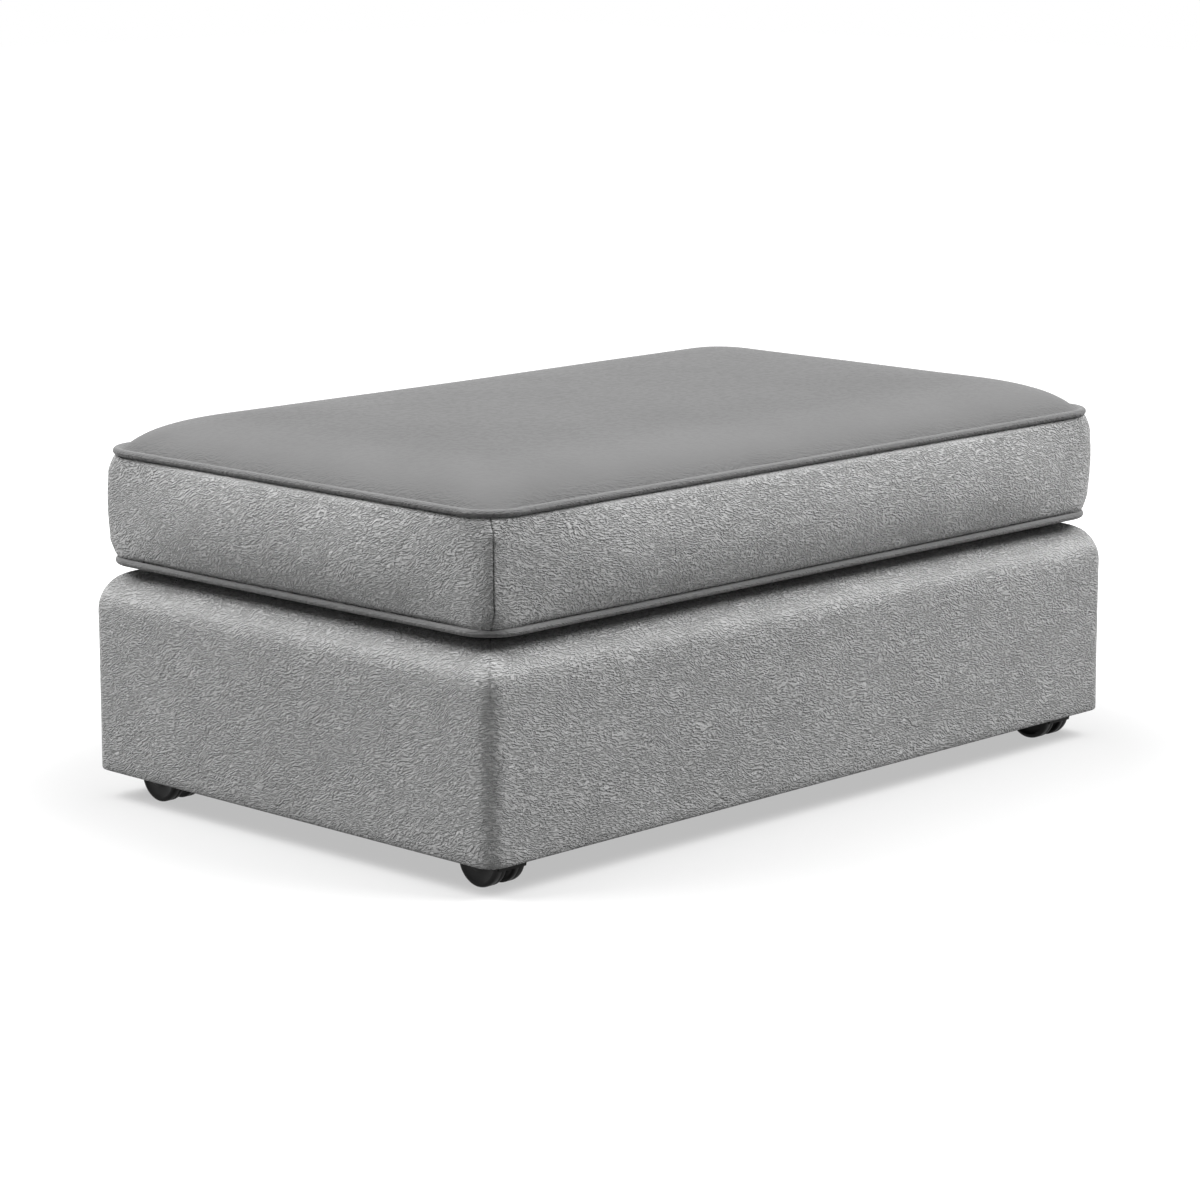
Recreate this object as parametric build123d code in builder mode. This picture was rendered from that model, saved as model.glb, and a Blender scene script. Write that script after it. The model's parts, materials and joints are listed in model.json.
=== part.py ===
from build123d import *
import os

# Padded ottoman coffee table: a webbed wooden frame in a leather skirt, a loose box
# cushion on top and four hooded twin-wheel casters. Millimetres, +Z up, origin on the floor
# at the middle of the footprint, +X along the long side, -Y the front.

# Base, over the leather
length = 1067
width = 660
hem_height = 34
base_height = 235
corner_radius = 42
top_edge_radius = 40
leather = 1.2
wadding = 2.5
hem_return = 20
deck_border = 92
deck_corner_radius = 30
deck_cloth_thickness = 0.8

# Wooden frame
frame_bottom = 70
frame_drop = 47
rail_thickness = 19
post_size = 76
board = 3
stretcher_height = 60
stretcher_place_share = 0.36
dust_cover_thickness = 0.6
dust_cover_lap = 12
dust_cover_hole = 24

# Webbed deck and its foam
strap_width = 50
strap_thickness = 1.5
strap_end = 12
long_straps = 5
cross_straps = 9
foam_gap = 0.3

# Cushion
cushion_gap = 0.3
welt_setback = 12.5
welt_corner_radius = 42
welt_radius = 4.3
welt_sides = 8
welt_flange = 12
welt_flange_thickness = 1.4
welt_clearance = 0.2
boxing_height = 127
boxing_bulge = 10.5
underside_drop = 12.7
crown_height = 46
cover = 1.3
fibre_gap = 0.3
core_clearance = 3.6

# Zip in the back of the cushion
zip_setback = 83.5
zip_opening = 10
zip_fold = 9
tape_width = 15
tape_thickness = 0.6
coil_width = 2.6
coil_height = 1.6
zip_slot = 1
zip_stop_length = 4
slider_length = 14
slider_width = 9
slider_plate = 1
slider_gap = 0.2
slider_web = 0.7
slider_web_length = 5
bridge_length = 9
bridge_width = 2.4
bridge_height = 1.8
bridge_bar = 0.8
pull_length = 26
pull_width = 6
pull_thickness = 0.6
pull_arm = 1.1
pull_loop = 5
pull_hole_radius = 1.2
pull_gap = 0.2
pull_round_share = 0.4

# Casters
swivel_inset_x = 56.5
swivel_inset_y = 65
caster_trail = 9
wheel_radius = 30
wheel_width = 15.5
wheel_gap = 13.6
wheel_bevel = 2.5
wheel_bevel_drop = 2.5
wheel_face = 2.4
axle_radius = 3
axle_clearance = 0.05
axle_end_gap = 0.6
hood_clearance = 0.9
hood_thickness = 1.7
hood_half_width = 20
hood_low_height = 22
web_clearance = 0.5
boss_radius = 9
neck_radius = 9
stem_bore_depth = 24
stem_radius = 5.5
stem_foot_radius = 4
stem_reach = 27
stem_collar_radius = 8.5
stem_collar = 1.5
stem_clearance = 0.05
stem_chamfer = 1
socket_wall = 1.4
socket_flange_radius = 10.5
socket_flange = 1.2
socket_end_gap = 2

overrun = 5

# Places that follow from the sizes above
half_length = length / 2
half_width = width / 2
base_top = hem_height + base_height
zip_length = length - 2 * zip_setback
wall_inset = leather + wadding + board
board_inset = leather + wadding
frame_top = base_top - frame_drop
rail_height = frame_top - frame_bottom
frame_half_length = half_length - wall_inset
frame_half_width = half_width - wall_inset
strap_top = frame_top + 3 * strap_thickness
foam_bottom = strap_top + foam_gap
foam_top = base_top - leather
bottom_seam = base_top + cushion_gap + underside_drop
top_seam = bottom_seam + boxing_height
middle_seam = (bottom_seam + top_seam) / 2
seam_half_length = half_length - welt_setback
seam_half_width = half_width - welt_setback
total_height = top_seam + crown_height
swivel_x = half_length - swivel_inset_x
swivel_y = half_width - swivel_inset_y

os.makedirs("parts", exist_ok=True)


def save(piece, name):
    """Label a finished piece and write it to its own file."""
    piece.part.label = name
    export_step(piece.part, f"parts/{name}.step")


def plan(inset, mode=Mode.ADD):
    """Rounded rectangle of the base's plan, drawn in by inset."""
    RectangleRounded(length - 2 * inset, width - 2 * inset, corner_radius - inset, mode=mode)


def plan_ring(outer_inset, inner_inset, bottom, top, mode=Mode.ADD):
    """Upright wall that follows the base's plan between two insets."""
    with BuildSketch(Plane.XY.offset(bottom)) as ring:
        plan(outer_inset)
        plan(inner_inset, mode=Mode.SUBTRACT)
    extrude(ring.sketch, amount=top - bottom, mode=mode)


def padded_form(inset, bottom):
    """The base's outer form drawn in by inset, with its rounded top edge."""
    with BuildPart() as form:
        with BuildSketch(Plane.XY.offset(bottom)):
            plan(inset)
        extrude(amount=base_top - inset - bottom)
        fillet(form.faces().sort_by(Axis.Z)[-1].edges(), top_edge_radius - inset)
    return form.part


# The plan is divided at 45 degrees from each corner, like the hips of a roof
ridge = half_length - half_width
front_left = (-half_length, -half_width)
front_right = (half_length, -half_width)
back_left = (-half_length, half_width)
back_right = (half_length, half_width)
side_outlines = {
    "front": (front_left, front_right, (ridge, 0), (-ridge, 0)),
    "back": (back_right, back_left, (-ridge, 0), (ridge, 0)),
    "left": (back_left, front_left, (-ridge, 0)),
    "right": (front_right, back_right, (ridge, 0)),
}


def side_piece(whole, side):
    """The part of a four-sided skin that lies on one side, mitred at the corners."""
    with BuildPart() as piece:
        with BuildSketch():
            with BuildLine():
                Polyline(*side_outlines[side], close=True)
            make_face()
        extrude(amount=total_height)
        add(whole, mode=Mode.INTERSECT)
    return piece


def corner_places(half_x, half_y):
    """The four points at plus and minus half_x and half_y."""
    return [(x, y) for x in (-half_x, half_x) for y in (-half_y, half_y)]


# Frame: corner posts with rounded outer corners, rails between them and two stretchers
post_x = frame_half_length - post_size / 2
post_y = frame_half_width - post_size / 2
front_rail_length = 2 * (frame_half_length - post_size)
end_rail_length = 2 * (frame_half_width - post_size)
socket_radius = stem_radius + stem_clearance + socket_wall
socket_length = stem_reach + socket_end_gap


with BuildPart() as corner_posts:
    with BuildSketch(Plane.XY.offset(frame_bottom)):
        plan(wall_inset)
        with BuildSketch(Plane.XY.offset(frame_bottom), mode=Mode.INTERSECT):
            with Locations(*corner_places(post_x, post_y)):
                Rectangle(post_size, post_size)
    extrude(amount=rail_height)
    with BuildSketch(Plane.XY.offset(frame_bottom)):
        with Locations(*corner_places(swivel_x, swivel_y)):
            Circle(socket_radius)
    extrude(amount=socket_length, mode=Mode.SUBTRACT)
save(corner_posts, "corner_posts")

stretcher_half = frame_half_width - rail_thickness
stretcher_x = stretcher_place_share * half_length


def rail(name, centre, size_x, size_y):
    """One upright board of the frame between two corner posts."""
    with BuildPart() as piece:
        with BuildSketch(Plane.XY.offset(frame_bottom)):
            with Locations(centre):
                Rectangle(size_x, size_y)
        extrude(amount=rail_height)
    save(piece, name)


rail_y = frame_half_width - rail_thickness / 2
rail_x = frame_half_length - rail_thickness / 2
rail("front_rail", (0, -rail_y), front_rail_length, rail_thickness)
rail("back_rail", (0, rail_y), front_rail_length, rail_thickness)
rail("left_rail", (-rail_x, 0), rail_thickness, end_rail_length)
rail("right_rail", (rail_x, 0), rail_thickness, end_rail_length)

with BuildPart() as stretchers:
    with BuildSketch(Plane.XY.offset(frame_bottom)):
        with Locations((-stretcher_x, 0), (stretcher_x, 0)):
            Rectangle(rail_thickness, 2 * stretcher_half)
    extrude(amount=stretcher_height)
save(stretchers, "stretchers")

# Boards that carry the skirt down past the frame to the hem
board_bottom = hem_height + leather
straight_length = length - 2 * corner_radius
straight_width = width - 2 * corner_radius


def straight_parts(mode):
    """Prisms over the straight stretches of the four sides."""
    with BuildSketch(Plane.XY.offset(board_bottom)) as cross:
        Rectangle(straight_length, width)
        Rectangle(length, straight_width)
    extrude(cross.sketch, amount=frame_top - board_bottom, mode=mode)


with BuildPart() as side_boards:
    plan_ring(board_inset, wall_inset, board_bottom, frame_top)
    straight_parts(Mode.INTERSECT)
save(side_boards, "side_boards")

with BuildPart() as corner_boards:
    plan_ring(board_inset, wall_inset, board_bottom, frame_top)
    straight_parts(Mode.SUBTRACT)
save(corner_boards, "corner_boards")

with BuildPart() as side_wadding:
    plan_ring(leather, board_inset, board_bottom, foam_bottom)
save(side_wadding, "side_wadding")

# Webbing: the cross straps lie flat on the frame and the long straps weave over and under
long_pitch = end_rail_length / long_straps
cross_pitch = front_rail_length / cross_straps
long_places = [(i - (long_straps - 1) / 2) * long_pitch for i in range(long_straps)]
cross_places = [(i - (cross_straps - 1) / 2) * cross_pitch for i in range(cross_straps)]
strap_half_long = frame_half_length - strap_end
strap_half_cross = frame_half_width - strap_end
cross_level = frame_top + strap_thickness

with BuildPart() as cross_webbing:
    with BuildSketch(Plane.XY.offset(cross_level)):
        with Locations(*[(x, 0) for x in cross_places]):
            Rectangle(strap_width, 2 * strap_half_cross)
    extrude(amount=strap_thickness)
save(cross_webbing, "cross_webbing")


def woven_line(first_over):
    """Points along the underside of a long strap as it passes over and under."""
    points = [(-strap_half_long, frame_top)]
    flat = strap_width / 2
    for i, x in enumerate(cross_places):
        over = (i % 2 == 0) == first_over
        level = cross_level + strap_thickness if over else frame_top
        points += [(x - flat, level), (x + flat, level)]
    points.append((strap_half_long, frame_top))
    return points


with BuildPart() as long_webbing:
    for i, y in enumerate(long_places):
        under = woven_line(i % 2 == 0)
        over = [(x, z + strap_thickness) for x, z in reversed(under)]
        with BuildSketch(Plane.XZ.offset(-y - strap_width / 2)):
            with BuildLine():
                Polyline(*under, *over, close=True)
            make_face()
        extrude(amount=strap_width)
save(long_webbing, "long_webbing")

with BuildPart() as deck_foam:
    add(padded_form(leather, hem_height))
    with BuildSketch(Plane.XY.offset(foam_bottom)):
        Rectangle(length, width)
    extrude(amount=base_height, mode=Mode.INTERSECT)
save(deck_foam, "deck_foam")

# Leather skirt: one padded shell with a hem, cut at the corner seams and open over the deck
deck_length = length - 2 * deck_border
deck_width = width - 2 * deck_border

with BuildPart() as skirt:
    add(padded_form(0, hem_height))
    add(padded_form(leather, board_bottom), mode=Mode.SUBTRACT)
    with BuildSketch(Plane.XY.offset(hem_height)):
        plan(wall_inset + leather)
    extrude(amount=leather, mode=Mode.SUBTRACT)
    plan_ring(wall_inset, wall_inset + leather, hem_height, hem_height + hem_return)
    with BuildSketch(Plane.XY.offset(foam_top)):
        RectangleRounded(deck_length, deck_width, deck_corner_radius)
    extrude(amount=leather, mode=Mode.SUBTRACT)

for side in side_outlines:
    save(side_piece(skirt.part, side), f"{side}_cover")

with BuildPart() as deck_cloth:
    with BuildSketch(Plane.XY.offset(foam_top)):
        RectangleRounded(deck_length, deck_width, deck_corner_radius)
    extrude(amount=deck_cloth_thickness)
save(deck_cloth, "deck_cloth")

with BuildPart() as dust_cover:
    with BuildSketch(Plane.XY.offset(frame_bottom)):
        plan(wall_inset + dust_cover_lap)
        with Locations(*corner_places(swivel_x, swivel_y)):
            Rectangle(dust_cover_hole, dust_cover_hole, mode=Mode.SUBTRACT)
    extrude(amount=-dust_cover_thickness)
save(dust_cover, "dust_cover")

with BuildPart() as caster_sockets:
    with BuildSketch(Plane.XY.offset(frame_bottom)):
        with Locations(*corner_places(swivel_x, swivel_y)):
            Circle(socket_radius)
    extrude(amount=socket_length)
    with BuildSketch(Plane.XY.offset(frame_bottom)):
        with Locations(*corner_places(swivel_x, swivel_y)):
            Circle(socket_flange_radius)
    extrude(amount=-socket_flange)
    with BuildSketch(Plane.XY.offset(frame_bottom - socket_flange)):
        with Locations(*corner_places(swivel_x, swivel_y)):
            Circle(stem_radius + stem_clearance)
    extrude(amount=socket_flange + socket_length - socket_wall, mode=Mode.SUBTRACT)
save(caster_sockets, "caster_sockets")


# Cushion skins are lofts through rounded rectangles. A level is a height, an inset from the
# seam line and a plan corner radius.
def seam_loft(levels, mode=Mode.ADD):
    """Loft through rounded rectangles, given as (height, inset, corner radius)."""
    sections = []
    for height, inset, corner in levels:
        with BuildSketch(Plane.XY.offset(height)) as level:
            RectangleRounded(
                2 * (seam_half_length - inset), 2 * (seam_half_width - inset), corner
            )
        sections.append(level.sketch)
    loft(sections, ruled=True, mode=mode)


edge_inset = welt_radius + welt_clearance
edge_rise = welt_flange_thickness / 2
upper_edge = top_seam - edge_rise
lower_edge = bottom_seam + edge_rise

# Shares of the half height of the boxing, and of its bulge, from the middle to a seam
boxing_shares = ((0.35, 0.9), (0.68, 0.52), (0.92, -0.27))


def boxing_levels(inward):
    """Levels of the boxing, drawn in from its outer face by inward."""
    half = (upper_edge - lower_edge) / 2
    above = [
        (half * rise, inward - boxing_bulge * out, welt_corner_radius)
        for rise, out in boxing_shares
    ]
    edge = (half, inward + edge_inset, welt_corner_radius)
    middle = (0, inward - boxing_bulge, welt_corner_radius)
    rising = above + [edge]
    falling = [(-height, inset, corner) for height, inset, corner in reversed(rising)]
    return [
        (middle_seam + height, inset, corner - inset)
        for height, inset, corner in falling + [middle] + rising
    ]


# Shares of the crown's height, of the half width and of the plan corner radius
crown_shares = (
    (0.22, 0.04, 0.86),
    (0.5, 0.11, 0.95),
    (0.76, 0.23, 1.1),
    (0.93, 0.4, 1.3),
    (1, 0.66, 1.5),
)


def crown_levels(inward):
    """Levels of the domed top, drawn in from the cover's outer face by inward."""
    levels = [(top_seam + edge_rise, edge_inset + inward, welt_corner_radius - edge_inset - inward)]
    for rise, inset, corner in crown_shares:
        levels.append(
            (
                top_seam + edge_rise + (crown_height - edge_rise - inward) * rise,
                seam_half_width * inset + inward,
                welt_corner_radius * corner - inward,
            )
        )
    return levels


# Shares of the underside's drop, of the flange's width and of the plan corner radius
underside_shares = ((0.45, 0.7, 0.86), (0.86, 1.6, 0.82), (1, 3, 0.8))


def underside_levels(inward):
    """Levels of the underside, from the bottom seam down to the flat that rests on the deck."""
    levels = [
        (bottom_seam - edge_rise, edge_inset + inward, welt_corner_radius - edge_inset - inward)
    ]
    for fall, inset, corner in underside_shares:
        levels.append(
            (
                bottom_seam - edge_rise - (underside_drop - edge_rise - inward) * fall,
                edge_inset + welt_flange * inset + inward,
                welt_corner_radius * corner - inward,
            )
        )
    return levels


with BuildPart() as top_panel:
    seam_loft(crown_levels(0))
    seam_loft(crown_levels(cover), mode=Mode.SUBTRACT)
save(top_panel, "top_panel")

with BuildPart() as bottom_panel:
    seam_loft(underside_levels(0))
    seam_loft(underside_levels(cover), mode=Mode.SUBTRACT)
save(bottom_panel, "bottom_panel")

with BuildPart() as top_fibre:
    seam_loft(crown_levels(cover + fibre_gap))
save(top_fibre, "top_fibre")

with BuildPart() as bottom_fibre:
    seam_loft(underside_levels(cover + fibre_gap))
save(bottom_fibre, "bottom_fibre")

with BuildPart() as foam_core:
    seam_loft(boxing_levels(cover + core_clearance))
save(foam_core, "foam_core")

with BuildPart() as boxing:
    seam_loft(boxing_levels(0))
    seam_loft(boxing_levels(cover), mode=Mode.SUBTRACT)

for side in ("front", "left", "right"):
    save(side_piece(boxing.part, side), f"{side}_boxing")


def welt(name, height):
    """Round cord in a leather casing, with its flange sewn between two panels."""
    corners = corner_places(seam_half_length, seam_half_width)
    ordered = (corners[0], corners[2], corners[3], corners[1])
    with BuildPart() as piece:
        with BuildLine(Plane.XY.offset(height)):
            path = FilletPolyline(*ordered, radius=welt_corner_radius, close=True)
        start = Plane(origin=path @ 0, x_dir=(0, 0, 1), z_dir=path % 0)
        with BuildSketch(start):
            RegularPolygon(welt_radius, welt_sides)
            with Locations((0, -welt_flange / 2)):
                Rectangle(welt_flange_thickness, welt_flange)
        sweep(path=path)
    save(piece, name)


welt("top_welt", top_seam)
welt("bottom_welt", bottom_seam)

# Back of the cushion: two strips folded along the zip, with the zip between the folds
zip_back = seam_half_width + boxing_bulge - cover
tape_face = zip_back - cover
fold_edge = zip_opening / 2

with BuildPart() as back_boxing:
    add(side_piece(boxing.part, "back").part)
    with BuildSketch(Plane.XZ.offset(-tape_face)):
        with Locations((0, middle_seam)):
            Rectangle(zip_length, 2 * (fold_edge + zip_fold))
    extrude(amount=-cover)
    with BuildSketch(Plane.XZ.offset(-tape_face + overrun)):
        with Locations((0, middle_seam)):
            Rectangle(zip_length, zip_opening)
    extrude(amount=-2 * overrun - cover, mode=Mode.SUBTRACT)
save(back_boxing, "back_boxing")

zip_half_length = zip_length / 2
tape_half_length = zip_half_length - zip_stop_length / 2


def zip_strips(inner, outer, front, back, half_long):
    """Two long strips above and below the zip's slot, between two heights from its middle."""
    for sign in (-1, 1):
        with BuildSketch(Plane.XZ.offset(-back)) as strip:
            with Locations((0, middle_seam + sign * (inner + outer) / 2)):
                Rectangle(2 * half_long, outer - inner)
        extrude(strip.sketch, amount=-(front - back))


tape_inner = tape_face - tape_thickness
coil_face = tape_face + coil_height
slot_edge = zip_slot / 2

with BuildPart() as zip_tapes:
    zip_strips(slot_edge, slot_edge + tape_width, tape_face, tape_inner, zip_half_length)
save(zip_tapes, "zip_tapes")

with BuildPart() as zip_coils:
    zip_strips(slot_edge, slot_edge + coil_width, coil_face, tape_face, tape_half_length)
    with BuildSketch(Plane.XZ.offset(-tape_face)):
        with Locations((-tape_half_length, middle_seam), (tape_half_length, middle_seam)):
            Rectangle(zip_stop_length, 2 * (slot_edge + coil_width))
    extrude(amount=-coil_height)
save(zip_coils, "zip_coils")

# Slider: two plates joined by a thin web in the slot, and a bridge for the pull
slider_x = -tape_half_length + (zip_stop_length + slider_length) / 2 + slider_gap
plate_inner = coil_face + slider_gap
plate_outer = plate_inner + slider_plate
under_outer = tape_inner - slider_gap
under_inner = under_outer - slider_plate
bridge_inner = bridge_height - bridge_bar


def slider_block(face, depth, size_x, size_z, mode=Mode.ADD):
    """Block of the slider that stands out from a face by depth."""
    with BuildSketch(Plane.XZ.offset(-face)) as block:
        with Locations((slider_x, middle_seam)):
            Rectangle(size_x, size_z)
    extrude(block.sketch, amount=-depth, mode=mode)


with BuildPart() as zip_slider:
    for face in (plate_inner, under_inner):
        with BuildSketch(Plane.XZ.offset(-face)) as plate:
            with Locations((slider_x, middle_seam)):
                Ellipse(slider_length / 2, slider_width / 2)
        extrude(plate.sketch, amount=-slider_plate)
    slider_block(under_outer, plate_inner - under_outer, slider_web_length, slider_web)
    slider_block(plate_outer, bridge_height, bridge_length, bridge_width)
    opening_length = bridge_length - 2 * bridge_bar
    slider_block(plate_outer, bridge_inner, opening_length, bridge_width, mode=Mode.SUBTRACT)
save(zip_slider, "zip_slider")

# Pull: a loop round the bridge's bar, and a flat tab with a rounded end
pull_back = plate_outer + pull_gap

with BuildPart() as zip_pull:
    with BuildSketch(Plane.XZ.offset(-pull_back)):
        with Locations((slider_x + (pull_length - pull_thickness) / 2, middle_seam)):
            Rectangle(pull_length, pull_width)
        with Locations((slider_x + pull_thickness / 2 + pull_loop / 2, middle_seam)):
            Rectangle(pull_loop, pull_width - 2 * pull_arm, mode=Mode.SUBTRACT)
        with Locations((slider_x + pull_length - pull_width / 2, middle_seam)):
            Circle(pull_hole_radius, mode=Mode.SUBTRACT)
    extrude(amount=-pull_thickness)
    fillet(
        zip_pull.edges().filter_by(Axis.Y).sort_by(Axis.X)[-2:],
        pull_width * pull_round_share,
    )
save(zip_pull, "zip_pull")

# Casters: a hooded housing with its stem and axle, and two wheels
caster_names = {
    "front_left": (-swivel_x, -swivel_y),
    "front_right": (swivel_x, -swivel_y),
    "back_left": (-swivel_x, swivel_y),
    "back_right": (swivel_x, swivel_y),
}
hood_inner = wheel_radius + hood_clearance
hood_outer = hood_inner + hood_thickness
web_half = wheel_gap / 2 - web_clearance
wheel_outer_x = wheel_gap / 2 + wheel_width
stem_top = frame_bottom + stem_reach
neck_top = frame_bottom - socket_flange - stem_collar - stem_clearance
stem_bottom = neck_top - stem_bore_depth


def caster_housing(x, y):
    """Web, arched hood and neck of one caster."""
    axle_y = y - caster_trail
    side_view = Plane(origin=(x, axle_y, wheel_radius), x_dir=(0, 1, 0), z_dir=(1, 0, 0))
    with BuildPart() as housing:
        with BuildSketch(side_view) as web:
            Circle(hood_outer)
            with Locations((0, hood_low_height - wheel_radius - hood_outer)):
                Rectangle(2 * hood_outer, 2 * hood_outer, mode=Mode.SUBTRACT)
            Circle(boss_radius)
        extrude(web.sketch, amount=web_half, both=True)
        with BuildSketch(side_view) as hood:
            Circle(hood_outer)
            Circle(hood_inner, mode=Mode.SUBTRACT)
            with Locations((0, hood_low_height - wheel_radius - hood_outer)):
                Rectangle(2 * hood_outer, 2 * hood_outer, mode=Mode.SUBTRACT)
        extrude(hood.sketch, amount=hood_half_width, both=True)
        with BuildSketch(Plane.XY.offset(neck_top)) as neck:
            with Locations((x, y)):
                Circle(neck_radius)
        extrude(neck.sketch, amount=wheel_radius - neck_top)
        for sign in (-1, 1):
            web_face = (x + sign * web_half, axle_y, wheel_radius)
            with BuildSketch(Plane(origin=web_face, x_dir=(0, 1, 0), z_dir=(sign, 0, 0))) as room:
                Circle(hood_inner)
            extrude(room.sketch, amount=hood_half_width, mode=Mode.SUBTRACT)
        with BuildSketch(Plane.XY.offset(neck_top)) as bore:
            with Locations((x, y)):
                Circle(stem_foot_radius)
        extrude(bore.sketch, amount=-stem_bore_depth, mode=Mode.SUBTRACT)
        with BuildSketch(side_view) as axle_bore:
            Circle(axle_radius)
        extrude(axle_bore.sketch, amount=web_half, both=True, mode=Mode.SUBTRACT)
    return housing


def caster_stem(x, y):
    """Turned steel stem: a foot pressed into the housing, a collar and a plain shank."""
    axis_plane = Plane(origin=(x, y, 0), x_dir=(1, 0, 0), z_dir=(0, -1, 0))
    with BuildPart() as stem:
        with BuildSketch(axis_plane) as profile:
            with BuildLine():
                Polyline(
                    (0, stem_bottom),
                    (stem_foot_radius, stem_bottom),
                    (stem_foot_radius, neck_top),
                    (stem_collar_radius, neck_top),
                    (stem_collar_radius, neck_top + stem_collar),
                    (stem_radius, neck_top + stem_collar),
                    (stem_radius, stem_top - stem_chamfer),
                    (stem_radius - stem_chamfer, stem_top),
                    (0, stem_top),
                    close=True,
                )
            make_face()
        revolve(profile.sketch, axis=Axis((x, y, 0), (0, 0, 1)))
    return stem


def caster_wheel(x, y, sign):
    """Solid wheel with a bevelled outer edge, bored from its inner face for the axle."""
    axle_y = y - caster_trail
    face_x = x + sign * wheel_outer_x
    inside_x = x + sign * wheel_gap / 2
    bore_x = x + sign * (wheel_outer_x - wheel_face + axle_end_gap)
    section = Plane(origin=(0, axle_y, wheel_radius), x_dir=(1, 0, 0), z_dir=(0, -1, 0))
    bore = axle_radius + axle_clearance
    with BuildPart() as wheel:
        with BuildSketch(section) as profile:
            with BuildLine():
                Polyline(
                    (face_x, 0),
                    (face_x, wheel_radius - wheel_bevel_drop),
                    (face_x - sign * wheel_bevel, wheel_radius),
                    (inside_x, wheel_radius),
                    (inside_x, bore),
                    (bore_x, bore),
                    (bore_x, 0),
                    close=True,
                )
            make_face()
        revolve(profile.sketch, axis=Axis((x, axle_y, wheel_radius), (1, 0, 0)))
    return wheel


for corner, (swivel_at_x, swivel_at_y) in caster_names.items():
    save(caster_housing(swivel_at_x, swivel_at_y), f"{corner}_housing")
    save(caster_stem(swivel_at_x, swivel_at_y), f"{corner}_stem")
    axle_centre = (swivel_at_x, swivel_at_y - caster_trail, wheel_radius)
    with BuildPart() as axle:
        with BuildSketch(Plane(origin=axle_centre, z_dir=(1, 0, 0))):
            Circle(axle_radius)
        extrude(amount=wheel_outer_x - wheel_face, both=True)
    save(axle, f"{corner}_axle")
    save(caster_wheel(swivel_at_x, swivel_at_y, -1), f"{corner}_wheel_a")
    save(caster_wheel(swivel_at_x, swivel_at_y, 1), f"{corner}_wheel_b")
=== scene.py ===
import functools
import json
import math

import bmesh
import bpy
import numpy as np
from mathutils import Matrix, Vector


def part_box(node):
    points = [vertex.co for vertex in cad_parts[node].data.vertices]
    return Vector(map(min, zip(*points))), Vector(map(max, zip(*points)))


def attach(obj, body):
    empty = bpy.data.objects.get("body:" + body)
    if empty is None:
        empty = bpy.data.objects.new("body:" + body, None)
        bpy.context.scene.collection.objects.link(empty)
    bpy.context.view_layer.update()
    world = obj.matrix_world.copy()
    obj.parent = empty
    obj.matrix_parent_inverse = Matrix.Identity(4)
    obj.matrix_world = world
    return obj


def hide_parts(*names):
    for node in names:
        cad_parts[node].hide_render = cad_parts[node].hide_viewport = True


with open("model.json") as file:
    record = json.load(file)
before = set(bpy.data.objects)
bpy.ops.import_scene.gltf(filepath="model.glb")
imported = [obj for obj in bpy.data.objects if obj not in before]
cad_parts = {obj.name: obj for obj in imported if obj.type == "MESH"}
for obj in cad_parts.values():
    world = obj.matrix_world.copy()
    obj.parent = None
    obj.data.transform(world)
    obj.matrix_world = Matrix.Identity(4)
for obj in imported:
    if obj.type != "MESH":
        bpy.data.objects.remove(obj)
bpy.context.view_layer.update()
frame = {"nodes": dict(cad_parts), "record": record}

bl_info = {
    "name": "Padded ottoman table",
    "version": (1, 0, 0),
    "blender": (4, 5, 0),
    "location": "View3D > Sidebar > Ottoman",
    "description": "Upholsters the ottoman's CAD frame: cushion, skirt, casters, studio",
    "category": "Object",
}

# Lengths are metres, as in the frame. MM turns a maker's millimetres into them.
MM = 0.001


def frame_box(*nodes):
    """Lowest and highest corner of several CAD nodes together."""
    boxes = [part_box(node) for node in nodes]
    low = Vector([min(box[0][axis] for box in boxes) for axis in range(3)])
    high = Vector([max(box[1][axis] for box in boxes) for axis in range(3)])
    return low, high


COVERS = ("front_cover", "back_cover", "left_cover", "right_cover")
BOXINGS = ("front_boxing", "back_boxing", "left_boxing", "right_boxing")
CORNERS = ("front_left", "front_right", "back_left", "back_right")
BASE_LOW, BASE_HIGH = frame_box(*COVERS)
TOP_SEAM = sum(end.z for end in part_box("top_welt")) / 2
LOW_SEAM = sum(end.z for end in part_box("bottom_welt")) / 2
DECK_TOP = BASE_HIGH.z


# Colours and nodes


# Bands of a wave texture at scale 1 lie this far apart
WAVE_PERIOD = 0.314
SOFTLY = {"interpolation_type": "SMOOTHSTEP"}


def linear(colour):
    """Linear RGB of an sRGB hex colour."""
    shares = [int(colour[start:start + 2], 16) / 255 for start in (1, 3, 5)]
    return [s / 12.92 if s <= 0.04045 else ((s + 0.055) / 1.055) ** 2.4 for s in shares]


def add_node(tree, kind, sockets=None, output=0, **settings):
    """Adds a node, sets it up, fills or links its inputs, and returns one of its outputs."""
    made = tree.nodes.new(kind)
    for name, value in settings.items():
        setattr(made, name, value)
    for name, value in (sockets or {}).items():
        socket = made.inputs[name]
        if isinstance(value, bpy.types.NodeSocket):
            tree.links.new(value, socket)
        else:
            socket.default_value = value
    return made.outputs[output] if made.outputs else None


def emptied(owner):
    """Clears a new material's or world's nodes. Returns the function that adds nodes to it."""
    owner.use_nodes = True
    owner.node_tree.nodes.clear()
    return functools.partial(add_node, owner.node_tree)


def new_material(name):
    """A material, the function that adds its nodes, and its Object coordinates."""
    material = bpy.data.materials.new(name)
    add = emptied(material)
    return material, add, add("ShaderNodeTexCoord", output="Object")


def blots(place, size, detail=1.0, distortion=0.0):
    """Inputs for noise of about 0.3 to 0.7, in blots of a real size in millimetres."""
    return {"Vector": place, "Scale": 1 / (size * MM), "Detail": detail, "Distortion": distortion}


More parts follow.
